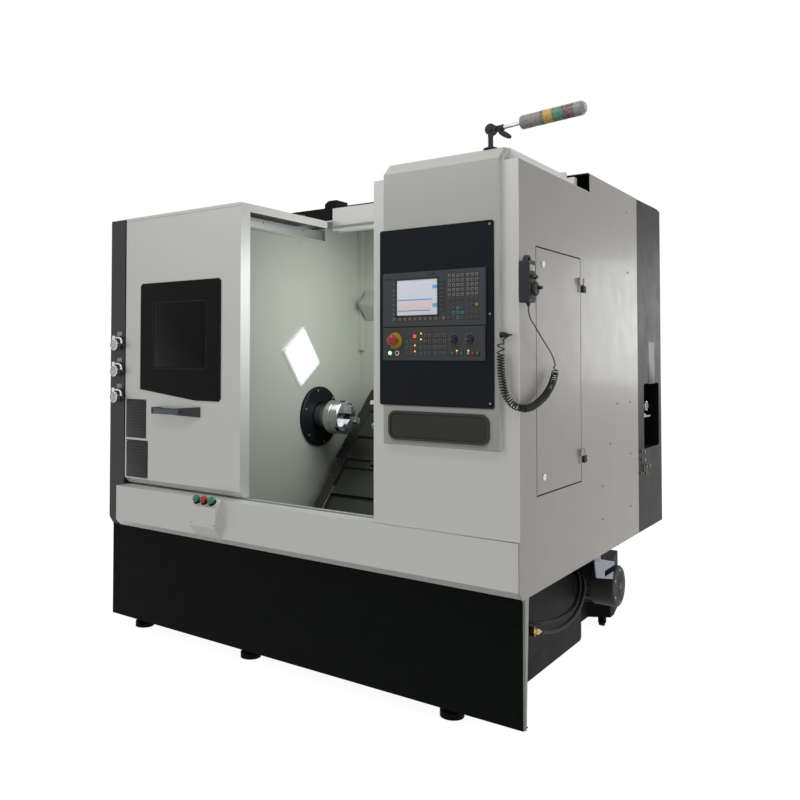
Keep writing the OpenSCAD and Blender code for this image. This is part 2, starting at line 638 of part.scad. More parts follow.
module cord_gland() color(black) upper() translate(gland) rotate([0, 90, 0]) {
    cylinder(d = 20, h = 6, $fn = 6);
    translate([0, 0, 6]) cylinder(d = 17, h = 12);
    translate([0, 0, 18]) cylinder(d1 = 17, d2 = 11, h = 6);
}

// rear cabinet: slanted rear edge of the roof, recess for the air unit, two doors and vents behind
module rear_cabinet() color(black) upper() difference() {
    along_x(cab_x0, 0, [[side_back, skirt_z], [side_back, rear_top], [cab_back - 54, rear_top + 4],
        [cab_back, rear_top - 4], [cab_back, skirt_z]]);
    round_side(side_back + 98, side_back + 366, 849, 1165, 14, -70, 1);
    for (x = [cab_x0 + 30, cab_x0 + 770]) difference() {
        round_plate(x, x + 700, 520, 1990, 14, cab_back - 4, cab_back + 1);
        round_plate(x + 5, x + 695, 525, 1985, 10, cab_back - 5, cab_back + 2);
    }
    for (x = [cab_x0 + 130, cab_x0 + 870], z = [620:36:910])
        round_plate(x, x + 300, z, z + 12, 5, cab_back - 8, cab_back + 1);
}

// air preparation behind its opening: filter with bowl, gauge, shut off lever, block, tag
module air_unit() color(steel) upper() {
    cyl_x(-70, -58, side_back + 190, 1060, 40);
    slab([-58, side_back + 104, 1000], [-20, side_back + 140, 1090]);
    translate([-38, side_back + 122, 930]) cylinder(d = 34, h = 70);
    translate([-38, side_back + 122, 918]) cylinder(d1 = 12, d2 = 34, h = 12);
    translate([-38, side_back + 122, 1090]) cylinder(d = 28, h = 26);
    cyl_x(-58, -18, side_back + 200, 1052, 46);
    slab([-52, side_back + 140, 1040], [-30, side_back + 180, 1058]);
    cyl_x(-40, -14, side_back + 168, 1010, 14);
    slab([-20, side_back + 112, 1000], [-10, side_back + 236, 1006]);
    translate([-40, side_back + 210, 1070]) rotate([-8, 0, 0]) cylinder(d = 8, h = 70);
    slab([-70, side_back + 200, 900], [-64, side_back + 250, 975]);
}

// coolant tank on casters, with its pump box at the right rear
module coolant_tank() color(black) place() {
    along_z(0, 285, [[left_x + 305, base_d + 0.3], [-265, base_d + 0.3], [-265, 1388], [-173, 1445],
        [-173, 1500],
        [-204, 1670], [-700, 1670], [-700, 1500], [left_x + 305, 1500]]);
    slab([left_x + 295, base_d + 40, 282], [-720, 1510, 292]);
    for (c = [[left_x + 385, 1150], [left_x + 385, 1441], [-222, 1470]]) translate([c[0], c[1], -foot_h]) {
        cyl_x(-11, 11, 0, 23, 46);
        cyl_x(-18, 18, 0, 23, 9);
        for (x = [-17, 13]) slab([x, -12, 16], [x + 4, 12, foot_h - 4]);
        slab([-20, -20, foot_h - 7], [20, 20, foot_h + 1]);
    }
}

// motor: finned body against the base and a fan cowl with a round rim
module pump_motor() color(black) place() {
    turned_x(base_x1, base_d - 2, 272, [[0, 0], [84, 0], [84, 70], [90, 74], [90, 168], [84, 174], [0,
        174]]);
    for (a = [0:30:330]) translate([0, base_d - 2, 272]) rotate([a, 0, 0])
        slab([base_x1 + 8, 80, -2], [base_x1 + 66, 90, 2]);
}

// bracket behind the side sheet, with a slot that is open at its rear edge
module slotted_bracket() color([0.45, 0.5, 0.62]) upper() difference() {
    along_x(-sheet_t - 4, -sheet_t, [[692, skirt_z + 25], [781, skirt_z + 25], [781, skirt_z - 18],
        [969, skirt_z - 64], [942, skirt_z - 135], [726, skirt_z - 85]]);
    round_side(833, 1000, skirt_z - 104, skirt_z - 78, 10, -sheet_t - 5, -sheet_t + 1);
}

// brass coupling on a bracket from the casting's recess
module hose_coupling() color(brass) place() {
    slab([base_x1 - 46, 118, 292], [-24, 124, 326]);
    translate([-34, 112, 312]) rotate([-106, 0, 0]) rotate_extrude() polygon([[0, 0], [10, 0], [10, 20],
        [7, 22],
        [7, 34], [11, 36], [11, 60], [6, 66], [6, 92], [0, 92]]);
}

// hoses under the side wall, each with its ends on the casting or on the coupling
module hose(route) color(black) place() tube(curve(route, 2), [for (i = [0:2 * len(route)]) hose_d], 10);
module upper_hose() hose(upper_route);
module lower_hose() hose(lower_route);

module door_panel() color(light) upper() difference() {
    along_x(door_x0, door_x1, [[door_y, door_z0 + 28], [door_y, door_z1 - 3], [door_back, door_z1 - 3],
        [door_back, door_z0], [4, door_z0]]);
    along_x(door_x0 + sheet_t, door_x1 - sheet_t, [[door_y + sheet_t, door_z0 + 29], [door_y + sheet_t,
        door_z1],
        [door_back + 1, door_z1], [door_back + 1, door_z0 + sheet_t], [5, door_z0 + sheet_t]]);
    round_plate(window_x0 + 21, window_x0 + window_w - 24, window_z1 - window_h + 74, window_z1 - 22, 20,
        door_y - 6, door_y + 24);
}

module door_roof() color(light) upper() {
    slab([door_x0, door_y, door_z1 - 3], [door_x1, roof_back, door_z1]);
    slab([door_x1 - 3, door_back, door_z1 - 36], [door_x1, beam_y - 31, door_z1 - 3]);
    slab([door_x1, roof_back - 30, door_z1 - 3], [door_x1 + 45, roof_back, door_z1]);
}

module door_rollers() color(steel) upper() {
    for (x = [door_x0 + 90, door_x1 - 110]) {
        cyl_y(8, 12.2, x, sill_top + 4.7, 4.6);
        slab([x - 5, 12, sill_top + 3.4], [x + 5, 15, door_z0]);
    }
    for (x = [door_x1 - 70, door_x1 - 34]) {
        cyl_y(beam_y - 21, beam_y - 15, x, 1966.3, 20);
        cyl_y(beam_y - 24, beam_y - 21, x, 1966.3, 7);
        slab([x - 8, beam_y - 27, 1960], [x + 8, beam_y - 24, door_z1 - 3]);
    }
}

// window: dark panel with a rising lower edge, its middle field sunk, and the pane behind
module door_window() color(black) upper() {
    difference() {
        along_y(door_y - 4, door_y, [[window_x0, window_z1 - window_h + 44],
            [window_x0 + 382, window_z1 - window_h], [window_x0 + window_w - 12, window_z1 - window_h],
            [window_x0 + window_w, window_z1 - window_h + 12], [window_x0 + window_w, window_z1 - 12],
            [window_x0 + window_w - 12, window_z1], [window_x0 + 12, window_z1], [window_x0,
                window_z1 - 12]]);
        round_plate(window_x0 + 89, window_x0 + window_w - 90, window_z1 - window_h + 147,
            window_z1 - 99, 18,
            door_y - 5, door_y - 2);
    }
    round_plate(window_x0 + 24, window_x0 + window_w - 27, window_z1 - window_h + 77, window_z1 - 25, 18,
        door_y, door_y + 6);
}

// bow handle: thin at its left leg, broad and slanted where it takes the latch at its right
module door_handle() color(black) upper() intersection() {
    along_z(handle_z - 24, handle_z + 24, [[handle_x0, door_y - 45], [handle_x0 + 190, door_y - 45],
        [handle_x0 + handle_w, door_y - 4], [handle_x0 + handle_w, door_y], [handle_x0 + 232, door_y],
        [handle_x0 + 180, door_y - 32], [handle_x0 + 18, door_y - 32], [handle_x0 + 18, door_y],
        [handle_x0, door_y]]);
    along_y(door_y - 50, door_y + 1, [[handle_x0 - 1, handle_z - 17], [handle_x0 - 1, handle_z + 17],
        [handle_x0 + 24, handle_z + 14], [handle_x0 + 150, handle_z + 14], [handle_x0 + handle_w + 1,
            handle_z + 24],
        [handle_x0 + handle_w + 1, handle_z - 24], [handle_x0 + 150, handle_z - 14], [handle_x0 + 24,
            handle_z - 14]]);
}

module lamp_base() color(dark) upper() {
    translate([piv[0], piv[1] - 6, column_top + bevel]) {
        rotate_extrude() polygon([[0, 0], [26, 0], [26, 4], [12, 9], [9, 14], [9, 48], [0, 48]]);
    }
    slab([piv[0] - 8, piv[1] - 12, piv[2] - 27], [piv[0] + 8, piv[1] - 0.3, piv[2]]);
    cyl_y(piv[1] - 12, piv[1] - 0.3, piv[0], piv[2], 40);
    cyl_y(piv[1] - 18, piv[1] - 12, piv[0], piv[2], 16);
}

module lamp_turn() upper() translate(piv) rotate([0, -lamp_rise, 0]) translate(-piv) children();

// clamp with its arm and the wing screw that locks it
module lamp_clamp() color(dark) lamp_turn() {
    cyl_y(piv[1], piv[1] + 12, piv[0], piv[2], 40);
    slab([piv[0] + 10, piv[1], piv[2] - 10], [-89, piv[1] + 12, piv[2] + 10]);
    cyl_x(-89, -77, piv[1] + 6, piv[2], 22);
    translate([piv[0] + 26, piv[1] + 6, piv[2] - 10]) rotate([0, 127, 0])
        rotate_extrude() polygon([[0, 0], [6, 2], [9, 12], [10, 28], [8, 46], [4, 54], [0, 56]]);
}

module lamp_rod() color(steel) lamp_turn() {
    cyl_x(-77, -11, piv[1] + 6, piv[2], 14);
    turned_x(-11, piv[1] + 6, piv[2], [[0, 0], [lamp_d / 2 - 3, 0], [lamp_d / 2, 4], [lamp_d / 2, 44],
        [lamp_d / 2 - 1, 46], [lamp_d / 2 - 1, 56], [lamp_d / 2, 58], [lamp_d / 2, 84], [0, 84]]);
}

module lens(n) cyl_x(73 + n * lens_h, 73 + (n + 1) * lens_h, piv[1] + 6, piv[2], lamp_d);
module amber_lens() color([1, 0.7, 0.1]) lamp_turn() lens(0);
module green_lens() color([0.1, 0.5, 0.3]) lamp_turn() lens(1);
module red_lens() color([0.5, 0.08, 0.08]) lamp_turn() {
    lens(2);
    turned_x(73 + 3 * lens_h, piv[1] + 6, piv[2], [[0, 0], [lamp_d / 2, 0], [lamp_d / 2, 26],
        [lamp_d / 2 - 8, cap_l], [0, cap_l]]);
}

base_casting();
kick_panel();
levelling_feet();
sill_cover();
door_track();
button_box();
left_palm_button();
stop_palm_button();
right_palm_button();
left_end_cabinet();
air_gauges();
headstock_housing();
spindle_wall();
wall_top_rail();
work_light();
back_wall();
header_beam();
rear_roof();
chip_tray();
way_covers();
cross_slide();
turret();
spindle_cover_disc();
chuck_body();
chuck_jaws();
column_front();
column_side();
column_inner_wall();
control_housing();
control_panel();
control_unit();
operator_panel();
emergency_stop();
feed_dial();
speed_dial();
lower_window();
side_door();
side_door_hinges();
side_door_locks();
pendant();
pendant_wheel();
pendant_cord();
rear_cabinet();
air_unit();
coolant_tank();
pump_motor();
slotted_bracket();
upper_hose();
lower_hose();
door_panel();
door_roof();
door_rollers();
door_window();
door_handle();
lamp_base();
lamp_clamp();
lamp_rod();
amber_lens();
green_lens();
red_lens();
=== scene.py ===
# %% [markdown]
# A slant bed lathe stands closed in by sheet metal: a black base, a pale enamelled housing,
# a door that slides to the left, and a column with the controls. The solids come from the
# packed frame in metres. This script keeps their places, and dresses them with finishes and
# with the small pieces that a drawing leaves out.

# %% Load the frame
import json
import math
import bmesh
import bpy
from mathutils import Matrix, Vector


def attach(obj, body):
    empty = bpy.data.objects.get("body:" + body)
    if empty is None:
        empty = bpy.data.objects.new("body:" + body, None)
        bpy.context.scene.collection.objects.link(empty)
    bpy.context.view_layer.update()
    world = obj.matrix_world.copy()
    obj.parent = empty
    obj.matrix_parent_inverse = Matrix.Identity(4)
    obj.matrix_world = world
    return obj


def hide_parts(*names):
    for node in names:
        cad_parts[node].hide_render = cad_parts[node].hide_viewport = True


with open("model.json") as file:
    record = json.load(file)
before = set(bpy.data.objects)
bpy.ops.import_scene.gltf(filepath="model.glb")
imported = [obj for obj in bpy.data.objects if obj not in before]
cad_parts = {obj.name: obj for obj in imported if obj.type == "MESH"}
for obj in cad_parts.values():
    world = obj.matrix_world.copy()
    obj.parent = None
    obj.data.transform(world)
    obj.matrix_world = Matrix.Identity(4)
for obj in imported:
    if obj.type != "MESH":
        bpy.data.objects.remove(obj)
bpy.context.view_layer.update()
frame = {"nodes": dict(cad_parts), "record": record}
nodes = frame["nodes"]


def at(x, y, z):
    """A point in millimetres from the front right corner of the base, as metres in the frame."""
    return Vector(((x + 994.5) / 1000, (y - 808) / 1000, (z + 55) / 1000))


# %% [markdown]
# The camera stands in front of the right corner, a little over half the machine's height, and
# looks almost level, which keeps the upright edges upright. The picture was cut off centre,
# so the lens is shifted as the cut asks.

# %% Camera
lens = bpy.data.cameras.new("camera")
lens.lens, lens.sensor_width = 36.74, 36
lens.shift_x, lens.shift_y = 0.1031, -0.0795
camera = bpy.data.objects.new("camera", lens)
bpy.context.scene.collection.objects.link(camera)
camera.matrix_world = (Matrix.Translation(at(1130, -2702.8, 1285.7))
                       @ Matrix.Rotation(math.radians(37.05), 4, "Z")
                       @ Matrix.Rotation(math.radians(91.5365), 4, "X")
                       @ Matrix.Rotation(math.radians(0.119), 4, "Z"))
bpy.context.scene.camera = camera
print("camera at", [round(v, 3) for v in camera.location])

# %% [markdown]
# Finishes come from one small helper, so that each one has the same parts: a tone that drifts
# slowly over the surface, a roughness that is never even, and a fine relief, such as the orange
# peel of sprayed enamel or the strokes of brushed steel. The patterns read Object coordinates,
# which are metres here, so their scales are true on every piece. A piece that was turned on a
# lathe gets its relief as rings: the pattern then reads the distance from the spindle's axis.


# %% Tones
def tone(r, g, b):
    """An sRGB colour from 0 to 255, as the linear colour that a shader takes."""
    return tuple(v / 3294.6 if v < 10.3 else ((v / 255 + 0.055) / 1.055) ** 2.4 for v in (r, g, b)) + (1,)


print("a mid grey is", round(tone(188, 188, 188)[0], 2), "in linear light")


# %% A helper for finishes
def finish_of(name, colour, rough, metal=0.0, drift=0.06, drift_scale=2.5, relief=0.0, relief_scale=400,
              stroke=(1, 1, 1), spread=0.08, coat=0.0, glow=0.0, dust=0.0, sheen=0.5, axis=None):
    """A procedural finish. stroke stretches the relief, and relief is its height in millimetres."""
    mat = bpy.data.materials.new(name)
    mat.use_nodes = True
    tree, bsdf = mat.node_tree, mat.node_tree.nodes["Principled BSDF"]

    def node(kind, **values):
        made = tree.nodes.new(kind)
        for key, value in values.items():
            made.inputs[key].default_value = value
        return made

    place = tree.nodes.new("ShaderNodeTexCoord").outputs["Object"]
    slow = node("ShaderNodeTexNoise", Scale=drift_scale, Detail=4, Roughness=0.6)
    tree.links.new(place, slow.inputs["Vector"])
    mix = tree.nodes.new("ShaderNodeMix")
    mix.data_type = "RGBA"
    base = tone(*colour)
    mix.inputs["A"].default_value = tuple(v * (1 - drift) for v in base[:3]) + (1,)
    mix.inputs["B"].default_value = tuple(min(1, v * (1 + drift)) for v in base[:3]) + (1,)
    tree.links.new(slow.outputs["Fac"], mix.inputs["Factor"])
    paint = mix.outputs["Result"]
    if dust:
        fine = node("ShaderNodeTexNoise", Scale=drift_scale * 9, Detail=6, Roughness=0.7)
        tree.links.new(place, fine.inputs["Vector"])
        ramp = node("ShaderNodeMapRange", **{"From Min": 0.5, "From Max": 0.75, "To Max": dust})
        tree.links.new(fine.outputs["Fac"], ramp.inputs["Value"])
        grey = tree.nodes.new("ShaderNodeMix")
        grey.data_type = "RGBA"
        grey.inputs["B"].default_value = tone(150, 148, 140)
        tree.links.new(ramp.outputs["Result"], grey.inputs["Factor"])
        tree.links.new(paint, grey.inputs["A"])
        paint = grey.outputs["Result"]
    tree.links.new(paint, bsdf.inputs["Base Color"])
    worn = node("ShaderNodeTexNoise", Scale=drift_scale * 5, Detail=5)
    tree.links.new(place, worn.inputs["Vector"])
    gloss = node("ShaderNodeMapRange", **{"To Min": max(0.02, rough - spread), "To Max": min(1, rough + spread)})
    tree.links.new(worn.outputs["Fac"], gloss.inputs["Value"])
    tree.links.new(gloss.outputs["Result"], bsdf.inputs["Roughness"])
    bsdf.inputs["Metallic"].default_value = metal
    bsdf.inputs["Specular IOR Level"].default_value = sheen
    bsdf.inputs["Coat Weight"].default_value = coat
    bsdf.inputs["Coat Roughness"].default_value = 0.12
    if relief:
        pattern = place
        if axis:
            centred = node("ShaderNodeMapping", Location=tuple(-v for v in axis))
            apart = tree.nodes.new("ShaderNodeSeparateXYZ")
            flat = tree.nodes.new("ShaderNodeCombineXYZ")
            radius = tree.nodes.new("ShaderNodeVectorMath")
            radius.operation = "LENGTH"
            rings = tree.nodes.new("ShaderNodeCombineXYZ")
            tree.links.new(place, centred.inputs["Vector"])
            tree.links.new(centred.outputs["Vector"], apart.inputs["Vector"])
            tree.links.new(apart.outputs["Y"], flat.inputs["Y"])
            tree.links.new(apart.outputs["Z"], flat.inputs["Z"])
            tree.links.new(flat.outputs["Vector"], radius.inputs[0])
            tree.links.new(apart.outputs["X"], rings.inputs["X"])
            tree.links.new(radius.outputs["Value"], rings.inputs["Y"])
            pattern = rings.outputs["Vector"]
        turn = node("ShaderNodeMapping", Scale=stroke)
        tree.links.new(pattern, turn.inputs["Vector"])
        peel = node("ShaderNodeTexNoise", Scale=relief_scale, Detail=3)
        tree.links.new(turn.outputs["Vector"], peel.inputs["Vector"])
        bump = node("ShaderNodeBump", Strength=1.0, Distance=relief / 1000)
        tree.links.new(peel.outputs["Fac"], bump.inputs["Height"])
        tree.links.new(bump.outputs["Normal"], bsdf.inputs["Normal"])
    if glow:
        tree.links.new(paint, bsdf.inputs["Emission Color"])
        bsdf.inputs["Emission Strength"].default_value = glow
    return mat


# %% [markdown]
# The housing is sprayed in a warm pale grey enamel. Flat panels have a faint orange peel, and
# the big right wall a coarser one that shows as a fine speckle in the light. The base, the left
# strip and the rear cabinet are black, with the same peel and hardly any shine.

# %% Enamels
enamel = finish_of("cream_enamel", (190, 192, 185), 0.36, drift=0.03, relief=0.03, relief_scale=260, coat=0.15,
                   sheen=0.35)
# The right wall and the side door get a copy of the cream enamel tinted a little warmer, which is painted warm light on
# the side; their coarser peel is real.
wall_enamel_painted_warm_light = finish_of("cream_enamel_wall", (191, 188, 180), 0.38, drift=0.035, relief=0.14, relief_scale=150,
                        coat=0.1, sheen=0.4)
inner_enamel = finish_of("inner_enamel", (176, 182, 171), 0.42, drift=0.05, relief=0.04, relief_scale=220, sheen=0.3)
black_enamel = finish_of("black_enamel", (20, 22, 25), 0.5, drift=0.12, relief=0.05, relief_scale=260, sheen=0.12)
base_black = finish_of("base_black", (7, 10, 9), 0.6, drift=0.18, relief=0.06, relief_scale=240, dust=0.004,
                       sheen=0.06)
cabinet_black = finish_of("cabinet_black", (20, 20, 22), 0.45, drift=0.12, relief=0.12, relief_scale=170, sheen=0.09)
disc_black = finish_of("disc_black", (17, 21, 24), 0.5, drift=0.1, relief=0.02, relief_scale=900, stroke=(1, 12, 1),
                       sheen=0.2, axis=at(0, 639, 991))
print(len(bpy.data.materials), "enamels")

# %% [markdown]
# Steel is told apart by its strokes. The chuck is turned, so its marks run round the spindle.
# The telescopic covers are ground along the machine and have gone dark with oil. Rails are
# drawn aluminium. Plastics have a fine even grain and almost no drift.

# %% Metals and plastics
dark_steel = finish_of("dark_steel", (58, 61, 57), 0.36, 0.6, drift=0.22, relief=0.03, relief_scale=60,
                       stroke=(12, 1, 1), dust=0.05)
bright_steel = finish_of("bright_steel", (188, 190, 192), 0.27, 1.0, drift=0.08, relief=0.02, relief_scale=70,
                         stroke=(12, 1, 1))
turned_steel = finish_of("turned_steel", (178, 182, 183), 0.24, 1.0, drift=0.1, relief=0.012, relief_scale=900,
                         axis=at(0, 639, 991), spread=0.06)
blued_steel = finish_of("blued_steel", (34, 35, 36), 0.4, 0.7, drift=0.2, relief=0.02, relief_scale=300)
zinc = finish_of("zinc_plate", (150, 150, 146), 0.35, 0.9, drift=0.15, drift_scale=40)
chrome = finish_of("chrome_plate", (205, 207, 210), 0.12, 1.0, drift=0.04, drift_scale=30, spread=0.04)
aluminium = finish_of("aluminium_rail", (170, 174, 172), 0.4, 0.8, drift=0.06, relief=0.02, relief_scale=60,
                      stroke=(1, 12, 12))
cast_black = finish_of("cast_black", (15, 17, 17), 0.68, drift=0.25, relief=0.35, relief_scale=110, dust=0.03,
                       sheen=0.15)
plastic = finish_of("black_plastic", (22, 23, 25), 0.46, drift=0.1, relief=0.03, relief_scale=700, sheen=0.35)
panel_black = finish_of("panel_black", (20, 22, 26), 0.5, drift=0.12, relief=0.03, relief_scale=500, sheen=0.14)
console = finish_of("console_grey", (15, 18, 20), 0.55, drift=0.08, relief=0.02, relief_scale=600, sheen=0.07)
keys_grey = finish_of("key_grey", (138, 138, 136), 0.5, drift=0.08, drift_scale=60, sheen=0.3)
key_line = finish_of("key_line", (212, 214, 206), 0.5, drift=0.08, drift_scale=60, sheen=0.3)
key_dark = finish_of("key_dark", (40, 41, 43), 0.5, drift=0.08, drift_scale=60, sheen=0.3)
teal = finish_of("key_teal", (120, 226, 206), 0.4, drift=0.06, drift_scale=60)
rubber = finish_of("black_rubber", (14, 15, 15), 0.62, drift=0.15, drift_scale=20, relief=0.04, relief_scale=500,
                   sheen=0.2)
cable_black = finish_of("cable_black", (32, 29, 31), 0.42, drift=0.15, relief=0.03, relief_scale=300, sheen=0.35)
bracket_blue = finish_of("bracket_blue", (92, 104, 134), 0.42, 0.2, drift=0.1, relief=0.04, relief_scale=300)
green_plastic = finish_of("green_plastic", (16, 118, 80), 0.32, drift=0.1, drift_scale=30, coat=0.3)
red_plastic = finish_of("red_plastic", (168, 28, 28), 0.34, drift=0.1, drift_scale=30, coat=0.3)
yellow_plastic = finish_of("yellow_plastic", (222, 188, 28), 0.42, drift=0.06, drift_scale=30)
beige_plastic = finish_of("beige_plastic", (200, 190, 160), 0.4, drift=0.06, drift_scale=30)
pale_plate = finish_of("pale_plate", (196, 196, 190), 0.4, drift=0.05, drift_scale=20)
dark_plate = finish_of("dark_plate", (27, 29, 30), 0.42, drift=0.08, drift_scale=12, sheen=0.35)
ruled_line = finish_of("ruled_line", (52, 54, 55), 0.5, drift=0.05, drift_scale=12)
brass = finish_of("brass", (176, 146, 88), 0.3, 0.9, drift=0.12, drift_scale=30)
print(len(bpy.data.materials), "finishes so far")

# %% [markdown]
# Lamps, lenses and the screen glow a little in their own colour. Their strength stays near one,
# so that they read as lit and still keep their hue. Glass is dark and smooth, because the
# windows of such a machine are tinted and the rooms behind them are unlit.

# %% Lights and glass
amber = finish_of("amber_lens", (250, 196, 24), 0.2, drift=0.12, drift_scale=20, coat=0.6, glow=0.75)
green_lens = finish_of("green_lens", (58, 96, 74), 0.22, drift=0.15, drift_scale=20, coat=0.6)
red_lens = finish_of("red_lens", (122, 44, 58), 0.22, drift=0.15, drift_scale=20, coat=0.6)
lamp_body = finish_of("lamp_body_steel", (198, 200, 202), 0.22, 1.0, drift=0.05, drift_scale=30)
# The work light's frame is enamel with a faint glow of its own, which is painted light from the diffuser inside it; the
# frame gives no light itself.
lamp_frame_painted_glow = finish_of("lamp_frame_painted_glow", (222, 228, 222), 0.3, drift=0.02, glow=0.35)
lamp_glow = finish_of("lamp_glow", (246, 250, 246), 0.3, drift=0.02, glow=1.3)
signal_amber = finish_of("signal_amber", (255, 190, 60), 0.3, drift=0.02, glow=1.2)
signal_green = finish_of("signal_green", (206, 255, 222), 0.3, drift=0.02, glow=1.2)
halo_green = finish_of("halo_green", (28, 168, 92), 0.35, drift=0.05, glow=0.35)
signal_red = finish_of("signal_red", (255, 92, 48), 0.3, drift=0.05, drift_scale=60, glow=0.8)
dim_red = finish_of("dim_red", (132, 38, 44), 0.35, drift=0.1, drift_scale=60)
screen_white = finish_of("screen_white", (232, 238, 248), 0.25, drift=0.02, drift_scale=6, glow=0.32)
screen_rose = finish_of("screen_rose", (246, 228, 232), 0.25, drift=0.02, drift_scale=6, glow=0.3)
screen_blue = finish_of("screen_blue", (110, 160, 215), 0.25, drift=0.04, drift_scale=6, glow=0.5)
screen_grey = finish_of("screen_grey", (120, 126, 134), 0.25, drift=0.04, drift_scale=6, glow=0.3)
screen_pale = finish_of("screen_pale", (198, 206, 216), 0.25, drift=0.04, drift_scale=6, glow=0.5)
door_glass = finish_of("door_glass", (18, 17, 21), 0.2, drift=0.25, drift_scale=5, sheen=0.08)
low_glass = finish_of("low_glass", (72, 74, 65), 0.22, drift=0.22, drift_scale=4, sheen=0.2)
finish_by_slot = {m.name: m for m in (enamel, black_enamel, dark_steel, bright_steel, aluminium, cast_black,
                                      plastic, console, cable_black, bracket_blue, green_plastic, red_plastic,
                                      amber, green_lens, red_lens, lamp_glow)}
print(len(bpy.data.materials), "finishes")

# %% [markdown]
# A few solids are two parts in one, such as a casting with a brass coupling on its bracket. For
# them a plane across one axis tells where the second finish starts. The mask reads the same
# Object coordinates, and it mixes the colour, the metal and the gloss.


# %% A second finish past a plane
def beyond(mat, axis, limit, colour, metal, rough, above=True):
    """Past a plane across an axis, the finish changes to another one."""
    tree = mat.node_tree
    bsdf = tree.nodes["Principled BSDF"]
    apart = tree.nodes.new("ShaderNodeSeparateXYZ")
    tree.links.new(tree.nodes.new("ShaderNodeTexCoord").outputs["Object"], apart.inputs["Vector"])
    step = tree.nodes.new("ShaderNodeMath")
    step.operation = "GREATER_THAN" if above else "LESS_THAN"
    step.inputs[1].default_value = limit
    tree.links.new(apart.outputs[axis], step.inputs[0])
    mask = step.outputs["Value"]
    for socket, other in (("Base Color", tone(*colour)), ("Metallic", metal), ("Roughness", rough)):
        mix = tree.nodes.new("ShaderNodeMix")
        mix.data_type = "RGBA" if socket == "Base Color" else "FLOAT"
        if bsdf.inputs[socket].is_linked:
            tree.links.new(bsdf.inputs[socket].links[0].from_socket, mix.inputs["A"])
        else:
            mix.inputs["A"].default_value = bsdf.inputs[socket].default_value
        mix.inputs["B"].default_value = other
        tree.links.new(mask, mix.inputs["Factor"])
        tree.links.new(mix.outputs["Result"], bsdf.inputs[socket])
    return mat


casting_finish = beyond(cast_black.copy(), "X", at(-172, 0, 0).x, (176, 146, 88), 0.9, 0.3)
# The control housing's enamel is painted much lighter than the cream enamel (240 against 190). This is painted light
# that makes up for the housing coming out darker in the light than the column beside it.
housing_enamel_with_painted_light = finish_of("housing_enamel_with_painted_light", (240, 242, 235), 0.4, drift=0.03, relief=0.03, relief_scale=260,
                           sheen=0.3)
housing_finish = beyond(housing_enamel_with_painted_light, "X", at(-61.95, 0, 0).x, (22, 23, 25), 0.0, 0.45)
covers_finish = beyond(dark_steel.copy(), "X", at(-1236.5, 0, 0).x, (20, 22, 22), 0.0, 0.5, above=False)
rod_finish = beyond(lamp_body.copy(), "X", at(-11.2, 0, 0).x, (176, 168, 162), 0.0, 0.35)
cap_finish = beyond(red_lens.copy(), "X", at(178.2, 0, 0).x, (182, 176, 172), 0.0, 0.35)
for mat, name in ((casting_finish, "casting_and_coupling"), (housing_finish, "housing_and_gland"),
                  (covers_finish, "covers_and_rail"), (rod_finish, "rod_and_lamp_body"), (cap_finish, "lens_and_cap")):
    mat.name = name
print("two part finishes:", casting_finish.name, housing_finish.name, covers_finish.name)

# %% [markdown]
# Every solid first gets the finish of its slot in the record, so none is left plain. The ones
# that need another follow by name.

# %% Finishes on the solids
for entry in frame["record"]["materials"]:
    for name in entry.get("nodes", []):
        if name in nodes:
            nodes[name].data.materials.clear()
            nodes[name].data.materials.append(finish_by_slot[entry["slot"]])


def dress(mat, *names):
    for name in names:
        nodes[name].data.materials.clear()
        nodes[name].data.materials.append(mat)


dress(wall_enamel_painted_warm_light, "column_side", "side_door")
dress(inner_enamel, "spindle_wall", "back_wall", "column_inner_wall", "headstock_housing")
dress(base_black, "kick_panel", "levelling_feet", "coolant_tank")
dress(cabinet_black, "rear_cabinet", "rear_roof")
dress(panel_black, "control_panel")
dress(disc_black, "spindle_cover_disc")
dress(turned_steel, "chuck_body")
dress(blued_steel, "cross_slide")
dress(casting_finish, "base_casting")
dress(housing_finish, "control_housing")
dress(covers_finish, "way_covers")
dress(rod_finish, "lamp_rod")
dress(cap_finish, "red_lens")
dress(lamp_frame_painted_glow, "work_light")
dress(chrome, "side_door_locks", "air_gauges")
dress(zinc, "door_rollers", "door_track")
dress(door_glass, "door_window")
print("bare of finish:", [n for n, o in nodes.items() if not o.data.materials or o.data.materials[0] is None])

# %% [markdown]
# The pendant's cord leaves the box straight down through its relief, runs slack to a coil that
# hangs in a bow, and climbs with a few pulled out turns to a gland beside the controls. Its
# middle line is drawn first. The coil then winds round that line, with a frame that is carried
# along it, so that the turns don't twist. Where a turn is still small its pitch is long, so
# that the wire never bends tighter than two of its diameters.

# %% Pendant cord
cord_line = [(26, -44, 1464.8), (26, -43, 1450), (26, -36, 1434), (26, -20, 1418), (25, 24, 1393), (25, 80, 1357),
             (25, 124, 1331), (25, 175, 1297), (25, 200, 1268), (25, 204, 1250), (25, 194, 1223), (25, 162, 1189),
             (25, 110, 1157), (25, 72, 1143), (25, 36, 1132), (25, -10, 1122), (26, -61, 1118), (18, -88, 1119),
             (-4, -92, 1126), (-18, -92, 1136), (-32, -94, 1156), (-41, -97, 1178), (-47, -101, 1225),
             (-50, -102, 1276), (-50, -102, 1300), (-50, -101, 1324), (-47, -100, 1340), (-38, -98, 1353),
             (-27.7, -96, 1361), (-20.6, -93, 1365), (-17.7, -86, 1367), (-20.6, -79, 1368), (-27.7, -76, 1368),
             (-37.7, -76, 1368)]
coil_from, coil_to, loose_to = 8, 24, 27
wire, coil_radius, tight_pitch, loose_pitch = 0.0046, 0.0114, 0.0088, 0.024


print("the lead's middle line has", len(cord_line), "points")


